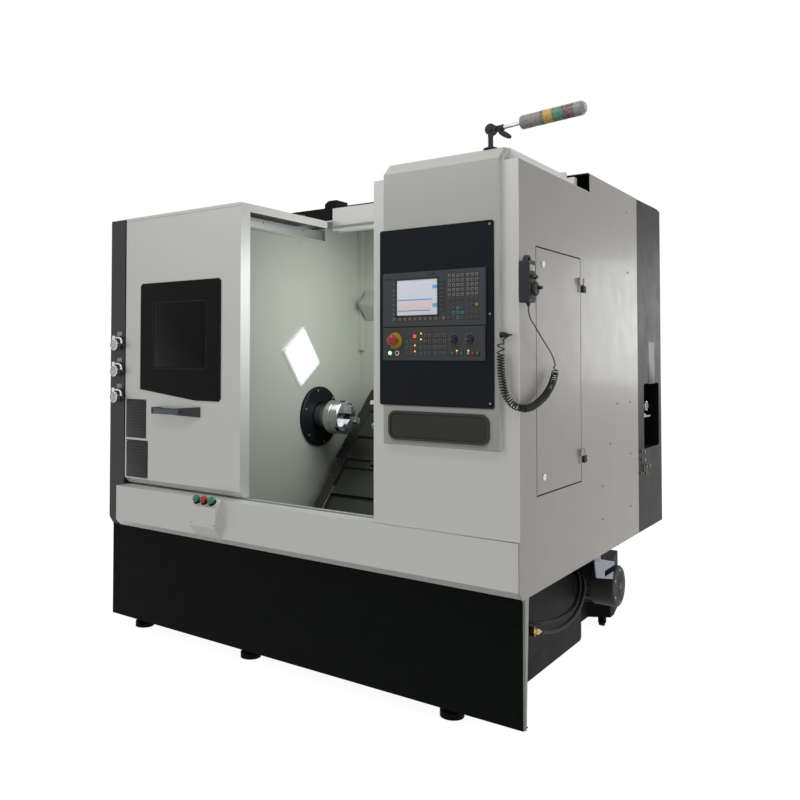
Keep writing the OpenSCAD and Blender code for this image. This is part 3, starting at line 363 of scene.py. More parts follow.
# %% A smooth line through points
def smooth_line(points, step):
    """Points at even steps along a Catmull-Rom curve, and where each given point falls on it."""
    p = [Vector(q) for q in points]
    p = [2 * p[0] - p[1]] + p + [2 * p[-1] - p[-2]]
    fine, marks = [], []
    for i in range(1, len(p) - 2):
        marks.append(len(fine))
        for k in range(60):
            t = k / 60
            fine.append(0.5 * ((2 * p[i]) + (p[i + 1] - p[i - 1]) * t
                               + (2 * p[i - 1] - 5 * p[i] + 4 * p[i + 1] - p[i + 2]) * t * t
                               + (3 * p[i] - p[i - 1] - 3 * p[i + 1] + p[i + 2]) * t ** 3))
    marks.append(len(fine))
    fine.append(p[-2])
    run, lengths = 0.0, [0.0]
    for a, b in zip(fine, fine[1:]):
        run += (b - a).length
        lengths.append(run)
    count = max(2, round(run / step))
    even, j = [], 0
    for k in range(count + 1):
        want = run * k / count
        while j < len(lengths) - 2 and lengths[j + 1] < want:
            j += 1
        f = (want - lengths[j]) / max(1e-9, lengths[j + 1] - lengths[j])
        even.append(fine[j].lerp(fine[j + 1], min(1, f)))
    return even, [lengths[m] for m in marks], run


# %% A tube along a line
def curve_of(name, points, thick, mat):
    """A round tube along points, as one open spline."""
    curve = bpy.data.curves.new(name, "CURVE")
    curve.dimensions, curve.bevel_depth, curve.bevel_resolution = "3D", thick / 2, 2
    curve.use_fill_caps = True
    spline = curve.splines.new("POLY")
    spline.points.add(len(points) - 1)
    for point, p in zip(spline.points, points):
        point.co = (*p, 1)
    made = bpy.data.objects.new(name, curve)
    bpy.context.scene.collection.objects.link(made)
    curve.materials.append(mat)
    return made, sum((b - a).length for a, b in zip(points, points[1:]))


print("a lead or a hose is", curve_of.__doc__)


# %% [markdown]
# The lead winds round its middle line in half millimetre steps. At both ends of the coil its
# radius eases in and out, and the pitch is stretched there, so that no bend gets sharp.

# %% Winding of the lead
middle, marks, run = smooth_line([at(*p) for p in cord_line], 0.0005)
side = Vector((1, 0, 0))
winding, angle, gap = [], 0.0, run / (len(middle) - 1)
for i, p in enumerate(middle):
    way = (middle[min(i + 1, len(middle) - 1)] - middle[max(i - 1, 0)]).normalized()
    side = (side - way * side.dot(way)).normalized()
    s = gap * i
    ease = min(1, max(0, (s - marks[coil_from]) / 0.03)) * min(1, max(0, (marks[loose_to] + 0.004 - s) / 0.03))
    r = coil_radius * ease * ease * (3 - 2 * ease)
    if r > 0:
        pitch = tight_pitch if s < marks[coil_to] else loose_pitch
        angle += 2 * math.pi * gap / max(pitch, 2 * math.pi * math.sqrt(max(0, 0.0116 * r - r * r)), 0.03 * (r < 0.005))
    winding.append(p + (side * math.cos(angle) + way.cross(side) * math.sin(angle)) * r)
lead, lead_length = curve_of("pendant_lead", winding, wire, cable_black)
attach(lead, "machine")
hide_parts("pendant_cord")
print("lead", round(lead_length, 3), "m in", len(winding), "points, middle line", round(run, 3), "m")

# %% [markdown]
# Two oil hoses hang under the side wall. One comes out of the casting's recess and one out of the
# brass coupling, and both end in the casting further back. Their middle lines are smooth curves
# through the same points as their solids.

# %% Hoses
hose = 0.016
upper_line = [(-223.7, 130, 372), (-180, 131, 371), (-128, 144, 352), (-84, 184, 318), (-64, 240, 300),
              (-60, 300, 290), (-60, 406, 271), (-60, 490, 264), (-60, 556, 265), (-61, 610, 271), (-64, 655, 283),
              (-70, 705, 308), (-84, 749, 338), (-106, 786, 366), (-140, 808, 382), (-162, 812, 384),
              (-177.7, 812, 384)]
lower_line = [(-34, 201, 286), (-34, 218, 281), (-34, 240, 275), (-34, 279, 266), (-34, 350, 252), (-34, 434, 246),
              (-34, 520, 251), (-36, 588, 266), (-42, 650, 283), (-52, 705, 301), (-68, 765, 322), (-96, 822, 337),
              (-138, 856, 343), (-162, 862, 344), (-177.7, 862, 344)]
for name, line in (("upper_hose", upper_line), ("lower_hose", lower_line)):
    points, _, _ = smooth_line([at(*p) for p in line], 0.02)
    tube, length = curve_of(name + "_rubber", points, hose, rubber)
    tube.data.bevel_resolution = 4
    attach(tube, "machine")
    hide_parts(name)
    print(name, round(length, 3), "m in", len(points), "points")

# %% [markdown]
# The floor is pale and plain. It shows as white to the camera where nothing shades it, because
# the object's picture has a white ground, but it keeps the shadow under the base. The world
# gives an even soft light. A long strip hangs over the space in front, so that upright sheets
# are brightest at their top, and a weak lamp far behind glances off the right wall.

# %% What the camera sees behind the machine
def shown_white(tree, target, plain, bright):
    """The camera, gloss and glass see the bright shader, and all other light sees the plain one."""
    path = tree.nodes.new("ShaderNodeLightPath")
    seen = path.outputs["Is Camera Ray"]
    for kind in ("Is Glossy Ray", "Is Transmission Ray"):
        either = tree.nodes.new("ShaderNodeMath")
        either.operation = "MAXIMUM"
        tree.links.new(seen, either.inputs[0])
        tree.links.new(path.outputs[kind], either.inputs[1])
        seen = either.outputs["Value"]
    pick = tree.nodes.new("ShaderNodeMixShader")
    tree.links.new(seen, pick.inputs["Fac"])
    tree.links.new(plain, pick.inputs[1])
    tree.links.new(bright, pick.inputs[2])
    tree.links.new(pick.outputs["Shader"], target)


print("two shaders in one:", shown_white.__doc__)

# %% Floor
bpy.ops.object.select_all(action="DESELECT")
bpy.ops.mesh.primitive_plane_add(size=200, location=(0, 0, -0.0005))
floor = bpy.context.object
floor.name = "floor"
white = bpy.data.materials.new("pale_floor")
white.use_nodes = True
tree = white.node_tree
bsdf = tree.nodes["Principled BSDF"]
bsdf.inputs["Base Color"].default_value = tone(205, 205, 205)
bsdf.inputs["Roughness"].default_value = 0.9
bsdf.inputs["Specular IOR Level"].default_value = 0.0
glow = tree.nodes.new("ShaderNodeEmission")
glow.inputs["Strength"].default_value = 0.94
add = tree.nodes.new("ShaderNodeAddShader")
tree.links.new(bsdf.outputs["BSDF"], add.inputs[0])
tree.links.new(glow.outputs["Emission"], add.inputs[1])
shown_white(tree, tree.nodes["Material Output"].inputs["Surface"], bsdf.outputs["BSDF"], add.outputs["Shader"])
floor.data.materials.append(white)
print("floor", floor.dimensions.x, "m wide")

# %% World
world = bpy.data.worlds.new("studio")
bpy.context.scene.world = world
world.use_nodes = True
tree = world.node_tree
sky = tree.nodes["Background"]
sky.inputs["Color"].default_value = (1, 1, 1, 1)
sky.inputs["Strength"].default_value = 0.2
bright = tree.nodes.new("ShaderNodeBackground")
bright.inputs["Color"].default_value = (1, 1, 1, 1)
bright.inputs["Strength"].default_value = 1.0
shown_white(tree, tree.nodes["World Output"].inputs["Surface"], sky.outputs["Background"],
            bright.outputs["Background"])
print("world strength", sky.inputs["Strength"].default_value)


# %% Lamps
def lamp(name, place, target, size, power):
    data = bpy.data.lights.new(name, "AREA")
    data.shape, data.size, data.size_y, data.energy = "RECTANGLE", size[0], size[1], power
    made = bpy.data.objects.new(name, data)
    bpy.context.scene.collection.objects.link(made)
    made.location = place
    made.rotation_euler = (Vector(target) - Vector(place)).to_track_quat("-Z", "Y").to_euler()
    made.visible_camera = False
    return made


lamp("front_strip", (0.2, -1.9, 2.9), (0.0, -0.7, 1.9), (3.0, 0.4), 10.5)
lamp("side_strip", (3.4, 0.1, 1.2), (0.9, 0.1, 1.0), (2.4, 0.6), 9)
lamp("far_lamp", (2.2, 4.6, 1.7), (1.0, 0.5, 1.4), (0.9, 1.2), 14)
lamp("inner_lamp", (0.38, -0.35, 1.6), (-0.39, -0.2, 1.0), (0.5, 0.8), 6.5)
bpy.context.scene.view_settings.view_transform = "Standard"

# %% [markdown]
# The small pieces are drawn on the flat sides of the machine. Each side is a matrix, in which
# millimetres run right, up and out of the sheet. A piece is made at those millimetres round the
# origin, shaped in edit mode, and then laid on its side in one step. Two primitives are enough to
# start with: a flat piece with round corners, and a profile that is spun about its own axis.


# %% Sides of the machine
def side_of(origin, right, up):
    """The matrix of a flat side, whose own millimetres run right, up and out of it."""
    u, v = Vector(right), Vector(up)
    axes = Matrix((u, v, u.cross(v))).transposed().to_4x4()
    return Matrix.Translation(at(*origin)) @ axes @ Matrix.Scale(0.001, 4)


root_half = math.sqrt(0.5)
front = side_of((0, 0, 0), (1, 0, 0), (0, 0, 1))
wall = side_of((0, 0, 0), (0, 1, 0), (0, 0, 1))
rear = side_of((0, 0, 0), (-1, 0, 0), (0, 0, 1))
left = side_of((0, 0, 0), (0, -1, 0), (0, 0, 1))
top = side_of((0, 0, 0), (1, 0, 0), (0, 1, 0))
bed = side_of((0, 761, 869), (1, 0, 0), (0, root_half, root_half))
print("the bed leans", round(math.degrees(bed.to_3x3().col[2].angle(Vector((0, 0, 1))))), "degrees")


# %% [markdown]
# An operator works on all that is selected, so a helper first leaves just one piece selected. In
# edit mode, points, edges or faces are then chosen by a test on their place or their normal.

# %% Choosing what to shape
def only(*pieces):
    """Only these pieces are selected, and the first is active."""
    bpy.ops.object.select_all(action="DESELECT")
    for piece in pieces:
        piece.select_set(True)
    bpy.context.view_layer.objects.active = pieces[0]


def choose(piece, kind, test):
    """The piece is open in edit mode with the points, edges or faces selected that pass a test."""
    only(piece)
    bpy.ops.object.mode_set(mode="EDIT")
    bpy.ops.mesh.select_mode(type=kind)
    bpy.ops.mesh.select_all(action="DESELECT")
    mesh = bmesh.from_edit_mesh(piece.data)
    for part in {"VERT": mesh.verts, "EDGE": mesh.edges, "FACE": mesh.faces}[kind]:
        part.select_set(bool(test(part)))
    bmesh.update_edit_mesh(piece.data)


def done():
    bpy.ops.object.mode_set(mode="OBJECT")


print("edit mode is entered by:", choose.__name__)

# %% [markdown]
# Plates, panes and keys start as a cube. Its upright edges are bevelled round, and its front rim
# is broken a little, as on a punched or moulded piece. A frame or a dish is a plate whose front
# face is inset and pushed in. Knobs, rings and lenses start as one point. It is extruded along
# half a cross section, which is then spun all the way round.


# %% Flat and spun pieces
def flat(name, low, high, corner=0.0, soft=0.4):
    """A flat piece between two corners, with round corners seen from the front and a softened rim."""
    low, high = Vector(low), Vector(high)
    bpy.ops.object.select_all(action="DESELECT")
    bpy.ops.mesh.primitive_cube_add(size=1, location=(low + high) / 2, scale=high - low)
    piece = bpy.context.object
    piece.name = name
    bpy.ops.object.transform_apply(location=True, rotation=True, scale=True)
    if corner:
        choose(piece, "EDGE", lambda e: abs((e.verts[0].co - e.verts[1].co).normalized().z) > 0.9)
        bpy.ops.mesh.bevel(offset=corner, segments=6, affect="EDGES")
        done()
    if soft:
        choose(piece, "EDGE", lambda e: all(abs(v.co.z - high.z) < 0.001 for v in e.verts))
        bpy.ops.mesh.bevel(offset=soft, segments=2, affect="EDGES")
        done()
    return piece


def sunk(piece, rim, depth):
    """The front face of a flat piece, pushed in inside a rim."""
    face_out = max(v.co.z for v in piece.data.vertices)
    choose(piece, "FACE", lambda f: f.normal.z > 0.9 and abs(f.calc_center_median().z - face_out) < 0.001)
    bpy.ops.mesh.inset(thickness=rim)
    bpy.ops.mesh.extrude_region_move(TRANSFORM_OT_translate={"value": (0, 0, -depth)})
    done()
    return piece


def spun(name, profile, sides=32):
    """A profile of pairs (radius, height), spun about the height's axis."""
    bpy.ops.object.select_all(action="DESELECT")
    bpy.ops.mesh.primitive_plane_add(size=1)
    piece = bpy.context.object
    piece.name = name
    bpy.ops.object.mode_set(mode="EDIT")
    bpy.ops.mesh.select_mode(type="VERT")
    bpy.ops.mesh.select_all(action="SELECT")
    bpy.ops.mesh.merge(type="CENTER")
    bpy.ops.transform.translate(value=(profile[0][0], 0, profile[0][1]))
    for a, b in zip(profile, profile[1:]):
        bpy.ops.mesh.extrude_region_move(TRANSFORM_OT_translate={"value": (b[0] - a[0], 0, b[1] - a[1])})
    bpy.ops.mesh.select_all(action="SELECT")
    bpy.ops.mesh.spin(steps=sides, angle=2 * math.pi, center=(0, 0, 0), axis=(0, 0, 1))
    bpy.ops.mesh.select_all(action="SELECT")
    bpy.ops.mesh.remove_doubles(threshold=0.001)
    bpy.ops.mesh.normals_make_consistent(inside=False)
    done()
    return piece


print("two starts:", flat.__doc__, spun.__doc__)

# %% [markdown]
# A button head screw has a domed rim and a hexagon socket. The socket is the head's inset top,
# whose ring of points is moved onto a hexagon before it is pushed in.


# %% A screw
def screw(name, r):
    """A button head screw with a hexagon socket, and its shank's start below the sheet."""
    bpy.ops.object.select_all(action="DESELECT")
    bpy.ops.mesh.primitive_cylinder_add(vertices=24, radius=r, depth=0.6 * r + 1, location=(0, 0, 0.3 * r - 0.5))
    piece = bpy.context.object
    piece.name = name
    bpy.ops.object.transform_apply(location=True, rotation=True, scale=True)
    choose(piece, "EDGE", lambda e: all(v.co.z > 0.5 * r for v in e.verts))
    bpy.ops.mesh.bevel(offset=0.35 * r, segments=3, affect="EDGES")
    done()
    choose(piece, "FACE", lambda f: f.normal.z > 0.99 and len(f.verts) > 12)
    bpy.ops.mesh.inset(thickness=0.12 * r)
    mesh = bmesh.from_edit_mesh(piece.data)
    for v in mesh.verts:
        if v.select:
            turn = math.atan2(v.co.y, v.co.x) % (math.pi / 3) - math.pi / 6
            v.co.xy = v.co.xy.normalized() * 0.42 * r / math.cos(turn)
    bpy.ops.mesh.extrude_region_move(TRANSFORM_OT_translate={"value": (0, 0, -0.35 * r)})
    done()
    return piece


print("a screw is", screw.__doc__)

# %% [markdown]
# What repeats is modelled once. Its copies are set in millimetres on one side of the machine and
# joined, and the whole is then laid on that side, smoothed, painted and given to its body.


# %% Copies and fitting
def repeated(name, model, spots):
    """Copies of a model at spots (right, up, out) or (right, up, out, turn), each with its own mesh, joined."""
    twins = []
    for spot in spots:
        twin = model.copy()
        twin.data = model.data.copy()
        bpy.context.scene.collection.objects.link(twin)
        twin.matrix_world = Matrix.Translation(spot[:3]) @ Matrix.Rotation(spot[3] if len(spot) > 3 else 0, 4, "Z")
        twins.append(twin)
    bpy.data.objects.remove(model)
    return joined(name, *twins)


def joined(name, *pieces):
    """Several pieces as one mesh."""
    only(*pieces)
    if len(pieces) > 1:
        bpy.ops.object.join()
    bpy.ops.object.transform_apply(location=True, rotation=True, scale=True)
    pieces[0].name = name
    return pieces[0]


def fitted(piece, place, mat, body="machine"):
    """The piece is laid on its side of the machine, smoothed, painted, and carried by its body."""
    only(piece)
    piece.matrix_world = place
    bpy.ops.object.transform_apply(location=True, rotation=True, scale=True)
    bpy.ops.object.shade_smooth_by_angle(angle=math.radians(35))
    piece.data.materials.clear()
    piece.data.materials.append(mat)
    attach(piece, body)
    return piece


def ring_spots(centre, r, count, start=0.0, out=0.0):
    """Spots on a circle, each turned to face outward."""
    return [(centre[0] + r * math.cos(a), centre[1] + r * math.sin(a), out, a)
            for a in (math.radians(start + 360 * k / count) for k in range(count))]


# %% [markdown]
# Sheet metal machines are held together by button head screws. They are modelled once per size,
# with a real hexagon socket, and then set wherever the panels are fastened. Each group lies on
# one side of the machine, so a spot is just right, up and out.

# %% Screws
screw_groups = [
    ("kick_panel_screws", front, 5, base_black, [(-33, 360, 0), (-34, 47, 0), (-83, 435, 0), (-2172, 430, 0),
                                                 (-2172, 60, 0)]),
    ("control_panel_screws", front, 4, zinc, [(-95, z, 90) for z in (1754, 1441, 1130)]),
    ("control_panel_left_screws", front, 4, black_enamel, [(-531, z, 90) for z in (1754, 1130)]),
    ("button_box_screws", front, 3.5, zinc, [(-1534, 552, 111), (-1395, 552, 111)]),
    ("side_wall_screws", wall, 5, enamel, [(1171, 1964, 0), (1183, 1686, 0), (1010, 1087, 0), (1206, 1086, 0),
                                           (910, 917, 0), (1207, 847, 0), (809, 746, 0), (1202, 607, 0),
                                           (806, 607, 0)]),
    ("hinge_screws", wall, 3.2, blued_steel, [(575, 1560, 7), (586, 1560, 7), (575, 878, 7), (586, 878, 7)]),
    ("inner_wall_screws", wall, 4.5, inner_enamel, [(489, 1861, -1388), (891, 1865, -1388)]),
    ("rail_screws", wall, 4, zinc, [(210, 1926, -1390), (511, 1926, -1390)]),
    ("cover_disc_screws", wall, 5.5, zinc, [s[:2] + (-1368,) for s in ring_spots((639, 991), 133, 6, 41.4)]),
    ("back_strip_screws", front, 4, inner_enamel, [(-1374, 1971, -999), (-1374, 1748, -999), (-1374, 1663, -999)]),
    ("bed_rail_screws", bed, 3.6, zinc, [(-1277, -126, 0), (-1277, -163, 0), (-1278, -230, 0), (-1278, -421, 0),
                                         (-1244, -443, 0), (-1293, 243, 4), (-1293, 60, 4), (-1293, -60, 4)]),
    ("left_cover_screws", left, 5, black_enamel, [(-y, z, 2202.6) for y in (78, 622, 708, 1252)
                                                  for z in (660, 1220, 1780)]),
    ("rear_door_screws", rear, 5, black_enamel, [(-x, z, 1742.6) for x in (-1484, -750, -16)
                                                 for z in (560, 1255, 1950)]),
]
for name, place, r, mat, spots in screw_groups:
    fitted(repeated(name, screw(name, r), spots), place, mat)
print(sum(len(g[4]) for g in screw_groups), "screws in", len(screw_groups), "groups")

# %% [markdown]
# Three pressure regulators hang on the left strip. The bodies are solids already. A dial is a
# pale disc with a ring of ticks and a tapered needle under a thin glass, and the glass gets a
# slight dome from its profile. Above each is a bare tag.

# %% Gauge dials
glass = bpy.data.materials.new("gauge_glass")
glass.use_nodes = True
bsdf = glass.node_tree.nodes["Principled BSDF"]
bsdf.inputs["Base Color"].default_value = (1, 1, 1, 1)
bsdf.inputs["Roughness"].default_value = 0.03
bsdf.inputs["Transmission Weight"].default_value = 1.0
bsdf.inputs["IOR"].default_value = 1.2
smear = glass.node_tree.nodes.new("ShaderNodeTexNoise")
smear.inputs["Scale"].default_value = 60
smear_range = glass.node_tree.nodes.new("ShaderNodeMapRange")
smear_range.inputs["To Min"].default_value = 0.01
smear_range.inputs["To Max"].default_value = 0.08
glass.node_tree.links.new(glass.node_tree.nodes.new("ShaderNodeTexCoord").outputs["Object"], smear.inputs["Vector"])
glass.node_tree.links.new(smear.outputs["Fac"], smear_range.inputs["Value"])
glass.node_tree.links.new(smear_range.outputs["Result"], bsdf.inputs["Roughness"])
dial_grey = finish_of("dial_grey", (172, 174, 170), 0.5, drift=0.05, drift_scale=40)

gauge_x, gauge_z = -2145, (1351, 1220, 1090)
spots = [(gauge_x, z, 0) for z in gauge_z]
fitted(repeated("gauge_faces", spun("face", [(0, 56.2), (22.4, 56.2), (22.4, 56.8), (0, 56.8)]), spots), front,
       dial_grey)
ticks = [(gauge_x + 18.6 * math.cos(a), z + 18.6 * math.sin(a), 57, a) for z in gauge_z
         for a in (math.radians(-45 + 27 * k) for k in range(11))]
fitted(repeated("gauge_ticks", flat("tick", (-2.4, -0.5, -0.3), (2.4, 0.5, 0.15), soft=0.1), ticks), front, plastic)
needle = flat("needle", (-5, -0.9, 57.3), (16, 0.9, 57.9), soft=0.2)
choose(needle, "VERT", lambda v: v.co.x > 10)
bpy.ops.transform.resize(value=(1, 0.25, 1), center_override=(16, 0, 0))
done()
fitted(repeated("gauge_needles", needle, [(gauge_x, z, 0, math.radians(a)) for z, a in zip(gauge_z, (118, 160, 75))]),
       front, red_plastic)
fitted(repeated("gauge_hubs", spun("hub", [(0, 57.9), (2.6, 57.9), (2.6, 58.6), (1.6, 59), (0, 59)], 16), spots),
       front, chrome)
fitted(repeated("gauge_glasses", spun("glass", [(0, 60.4), (12, 60.1), (22.8, 59.3), (22.8, 58.7), (12, 59.5),
                                                (0, 59.8)]), spots), front, glass)
fitted(repeated("gauge_knobs", spun("knob", [(0, 40), (9, 40), (10.5, 42), (10.5, 52), (8, 55), (0, 55.5)], 24),
                [(gauge_x + 39, z - 2, 0) for z in gauge_z]), front, plastic)
fitted(repeated("gauge_tags", flat("tag", (-18, -10, 26), (18, 10, 27), 2, 0.2), [(gauge_x + 8, z + 56, 0)
                                                                                 for z in gauge_z]), front, pale_plate)
print("three gauges with", len(ticks), "ticks")

# %% [markdown]
# The door's window is a dark pane behind a printed black border, held in a rubber seal. The
# border is a solid already, so a seal is laid round the clear field and a glossy pane inside it.
# Two dark plates sit below the handle. They are bare but for faint ruled lines.

# %% Door window, plates and handle
seal = sunk(flat("door_window_seal", (-1894, 1232, 25), (-1525, 1554, 28.6), 20, 1.2), 5, 2.2)
fitted(seal, front, rubber, "sliding_door")
fitted(flat("door_window_pane", (-1888, 1238, 26), (-1531, 1548, 27.2), 15, 0.3), front, door_glass, "sliding_door")
for name, low, high in (("upper_plate", (-2084, 893), (-1937, 1083)), ("lower_plate", (-2081, 700), (-1923, 883))):
    fitted(flat(name, low + (23.5,), high + (24.9,), 3, 0.3), front, dark_plate, "sliding_door")
    rows = [(low[0] + 12, z, 0) for z in range(low[1] + 18, high[1] - 12, 14)]
    line = flat("line", (0, -0.8, 24.8), (high[0] - low[0] - 24, 0.8, 25.05), soft=0.1)
    fitted(repeated(name + "_lines", line, rows), front, ruled_line, "sliding_door")
    corners = [(x, z, 24.9) for x in (low[0] + 6, high[0] - 6) for z in (low[1] + 6, high[1] - 6)]
    fitted(repeated(name + "_rivets", spun("rivet", [(0, -1), (2.4, -1), (2.4, 0.2), (1.5, 1), (0, 1.2)], 16), corners),
           front, zinc, "sliding_door")
grip = flat("handle_grip", (-1838, 1025, 68.6), (-1664, 1047, 70.2), 6, 0.6)
fitted(grip, front, finish_of("grip_grey", (86, 92, 100), 0.35, 0.3, drift=0.08), "sliding_door")
fitted(repeated("handle_screws", screw("handle_screw", 4.5), [(-1841, 1036, 69), (-1654, 1036, 69)]), front,
       blued_steel, "sliding_door")
hem = flat("door_hem", (-2091, 1965, 24), (-1321, 1967, 24.5), soft=0.2)
fitted(hem, front, enamel, "sliding_door")
print("door dressed")

# %% [markdown]
# The palm buttons stand in black collars on the small box. Each collar lies in the tilted plane
# of its button, so it gets a side of its own.

# %% Button collars
tilt = math.radians(42)
for k, x in enumerate((-1509, -1463, -1417)):
    place = side_of((x, -91, 645), (1, 0, 0), (0, math.cos(tilt), math.sin(tilt)))
    collar = spun("collar_%d" % (k + 1), [(9.2, 3.6), (19.6, 3.6), (19.6, 4.6), (18, 5.4), (10.5, 5.4), (9.2, 4.8)])
    fitted(collar, place, plastic)
print("collars at", [(x, 645) for x in (-1509, -1463, -1417)])

# %% [markdown]
# In the working area the chuck carries socket screws in the bores of its jaws, a guard ring and
# fine grooves on its face. The telescopic covers end in rubber wipers. The slanted work light
# has a lit diffuser inside its frame.

# %% Chuck, covers and work light
spindle_axis = (639, 991)
for k, angle in enumerate((100, 220, 340)):
    a = math.radians(angle)
    spots = [(spindle_axis[0] + u * math.cos(a), spindle_axis[1] + u * math.sin(a), -1201.5) for u in (38, 70)]
    fitted(repeated("jaw_screws_%d" % (k + 1), screw("jaw_screw", 5.6), spots), wall, blued_steel, "spindle")
    teeth = flat("tooth", (-0.9, -13.5, 0), (0.9, 13.5, 0.7), soft=0.3)
    spots = [(spindle_axis[0] + u * math.cos(a), spindle_axis[1] + u * math.sin(a), -1170, a)
             for u in (29, 33, 48, 52, 56)]
    fitted(repeated("jaw_serrations_%d" % (k + 1), teeth, spots), wall, bright_steel, "spindle")
spots = [(spindle_axis[0] + 54 * math.cos(math.radians(a)), spindle_axis[1] + 54 * math.sin(math.radians(a)), -1212)
         for a in (40, 160, 280)]
fitted(repeated("chuck_face_screws", screw("face_screw", 6), spots), wall, blued_steel, "spindle")
ring = spun("chuck_bore_ring", [(23.2, -1214), (30, -1214), (30, -1211), (28.5, -1209.8), (24.5, -1209.8),
                                (23.2, -1211)], 48)
fitted(repeated("chuck_bore_ring", ring, [spindle_axis + (0,)]), wall, blued_steel, "spindle")
print("jaws with", 3 * 2, "screws")

# %% [markdown]
# Each telescopic cover wipes the next one with a rubber lip along its edge. The work light's
# diffuser lies in its tilted frame, held by four small screws.

# %% Wipers and work light
for k, (v, out, x0) in enumerate(((-158, -10.3, -1229), (-112, -4.3, -1229), (30, 1.7, -1235), (200, 7.7, -1235))):
    lip = flat("wiper_%d" % (k + 1), (x0, v - 11, out - 7), (-241, v - 4, out), soft=1.0)
    fitted(lip, bed, rubber)
edge = flat("cover_guide", (-1234, -440, -8.4), (-1229, -290, -6), soft=0.5)
fitted(edge, bed, zinc)
light_side = side_of((-1388, 492, 1293), (0, math.cos(math.radians(53)), -math.sin(math.radians(53))),
                     (0, math.sin(math.radians(53)), math.cos(math.radians(53))))
fitted(flat("light_diffuser", (-99, -85, 9.8), (99, 85, 11.6), 3, 0.6), light_side, lamp_glow)
fitted(repeated("light_screws", screw("light_screw", 3.2), [(x, y, 14) for x in (-106, 106) for y in (-92, 92)]),
       light_side, zinc)
print("four wipers and the light")

# %% [markdown]
# The turret's disc is bolted on with a ring of socket screws, and one tool carries an insert at
# its tip. The insert is a small rhomb of hard metal, which catches the light at the column's edge.

# %% Turret and tools
insert_finish = finish_of("insert_gold", (226, 196, 170), 0.3, 0.4, drift=0.05, drift_scale=40)
turret_axis = side_of((0, 761 + (60 - 172.5) * root_half, 869 + (60 + 172.5) * root_half), (0, root_half, root_half),
                      (0, -root_half, root_half))
fitted(repeated("turret_bolts", screw("turret_bolt", 6), [(s[0], s[1], 970) for s in ring_spots((0, 0), 45, 8, 22.5)]),
       turret_axis @ Matrix.Rotation(math.pi, 4, "Y"), blued_steel)
insert = flat("tool_insert", (-7, -7, -1.6), (7, 7, 1.6), 1.5, 0.5)
choose(insert, "VERT", lambda v: True)
bpy.ops.transform.resize(value=(1, 0.72, 1), center_override=(0, 0, 0))
done()
fitted(insert, bed @ Matrix.Translation((-1000.4, -212, 95)) @ Matrix.Rotation(-math.pi / 2, 4, "Y"), insert_finish)
print("turret bolts and one insert")

# %% [markdown]
# The control unit shows a lit screen in a dark frame, and many small keys. A key is a pale rim
# with a dark centre, so rims and centres are two sets of copies on the same grid, and a short
# dash stands for its legend. The cursor keys have a teal rim. Names and marks stay off.

# %% Screen
screen_pieces = [
    ("screen", (-467, 1445), (-297, 1575), 95.0, 95.5, screen_white),
    ("screen_lower_field", (-464, 1466), (-320, 1497), 95.4, 95.6, screen_rose),
    ("screen_bar", (-462, 1499), (-320, 1504), 95.4, 95.7, screen_blue),
    ("screen_foot", (-464, 1460), (-326, 1463), 95.4, 95.7, screen_grey),
    ("screen_upper_tab", (-317, 1540), (-298, 1553), 95.4, 95.7, screen_blue),
    ("screen_lower_tab", (-317, 1472), (-298, 1486), 95.4, 95.7, screen_blue),
]
for name, low, high, back, out, mat in screen_pieces:
    fitted(flat(name, low + (back,), high + (out,), 0.4, 0.1), front, mat)
rows = [(x, z, 0) for z, xs in ((1564, (-456, -440, -400, -380)), (1557, (-452, -424, -402, -370, -350)),
                                (1550, (-424, -396)), (1544, (-424, -404)), (1537, (-424,)), (1531, (-424,)),
                                (1511, (-456,))) for x in xs]
fitted(repeated("screen_rows", flat("row", (0, -0.9, 95.4), (11, 0.9, 95.6), soft=0.05), rows), front, screen_pale)
fitted(repeated("screen_tab_lines", flat("row", (0, -0.7, 95.4), (18, 0.7, 95.6), soft=0.05),
                [(-317, z, 0) for z in (1566, 1556, 1536, 1526, 1514, 1502, 1490, 1468, 1455)]), front, screen_pale)
bezel = sunk(flat("screen_bezel", (-474, 1438, 96.4), (-290, 1582, 98.0), 4, 0.5), 6.2, 0)
choose(bezel, "FACE", lambda f: abs(f.normal.z) > 0.9 and f.calc_area() > 2000)
bpy.ops.mesh.bridge_edge_loops()
done()
fitted(bezel, front, plastic)
print(len(screen_pieces), "fields and", len(rows), "rows on the screen")

# %% [markdown]
# The keys lie on a grid of 16.9 mm. The upper rows are clear to read, the lower ones are worn and
# dim. A row of soft keys runs under the screen, and a column of eight stands beside it.

# %% Keys of the control unit
unit = (-528, 1404)
pitch = 16.9


def key_grid(x, z, columns, count, step_z=pitch, step_x=pitch):
    return [(unit[0] + x + step_x * i + 5, unit[1] + z - step_z * j + 5, 0) for i in range(columns)
            for j in range(count)]


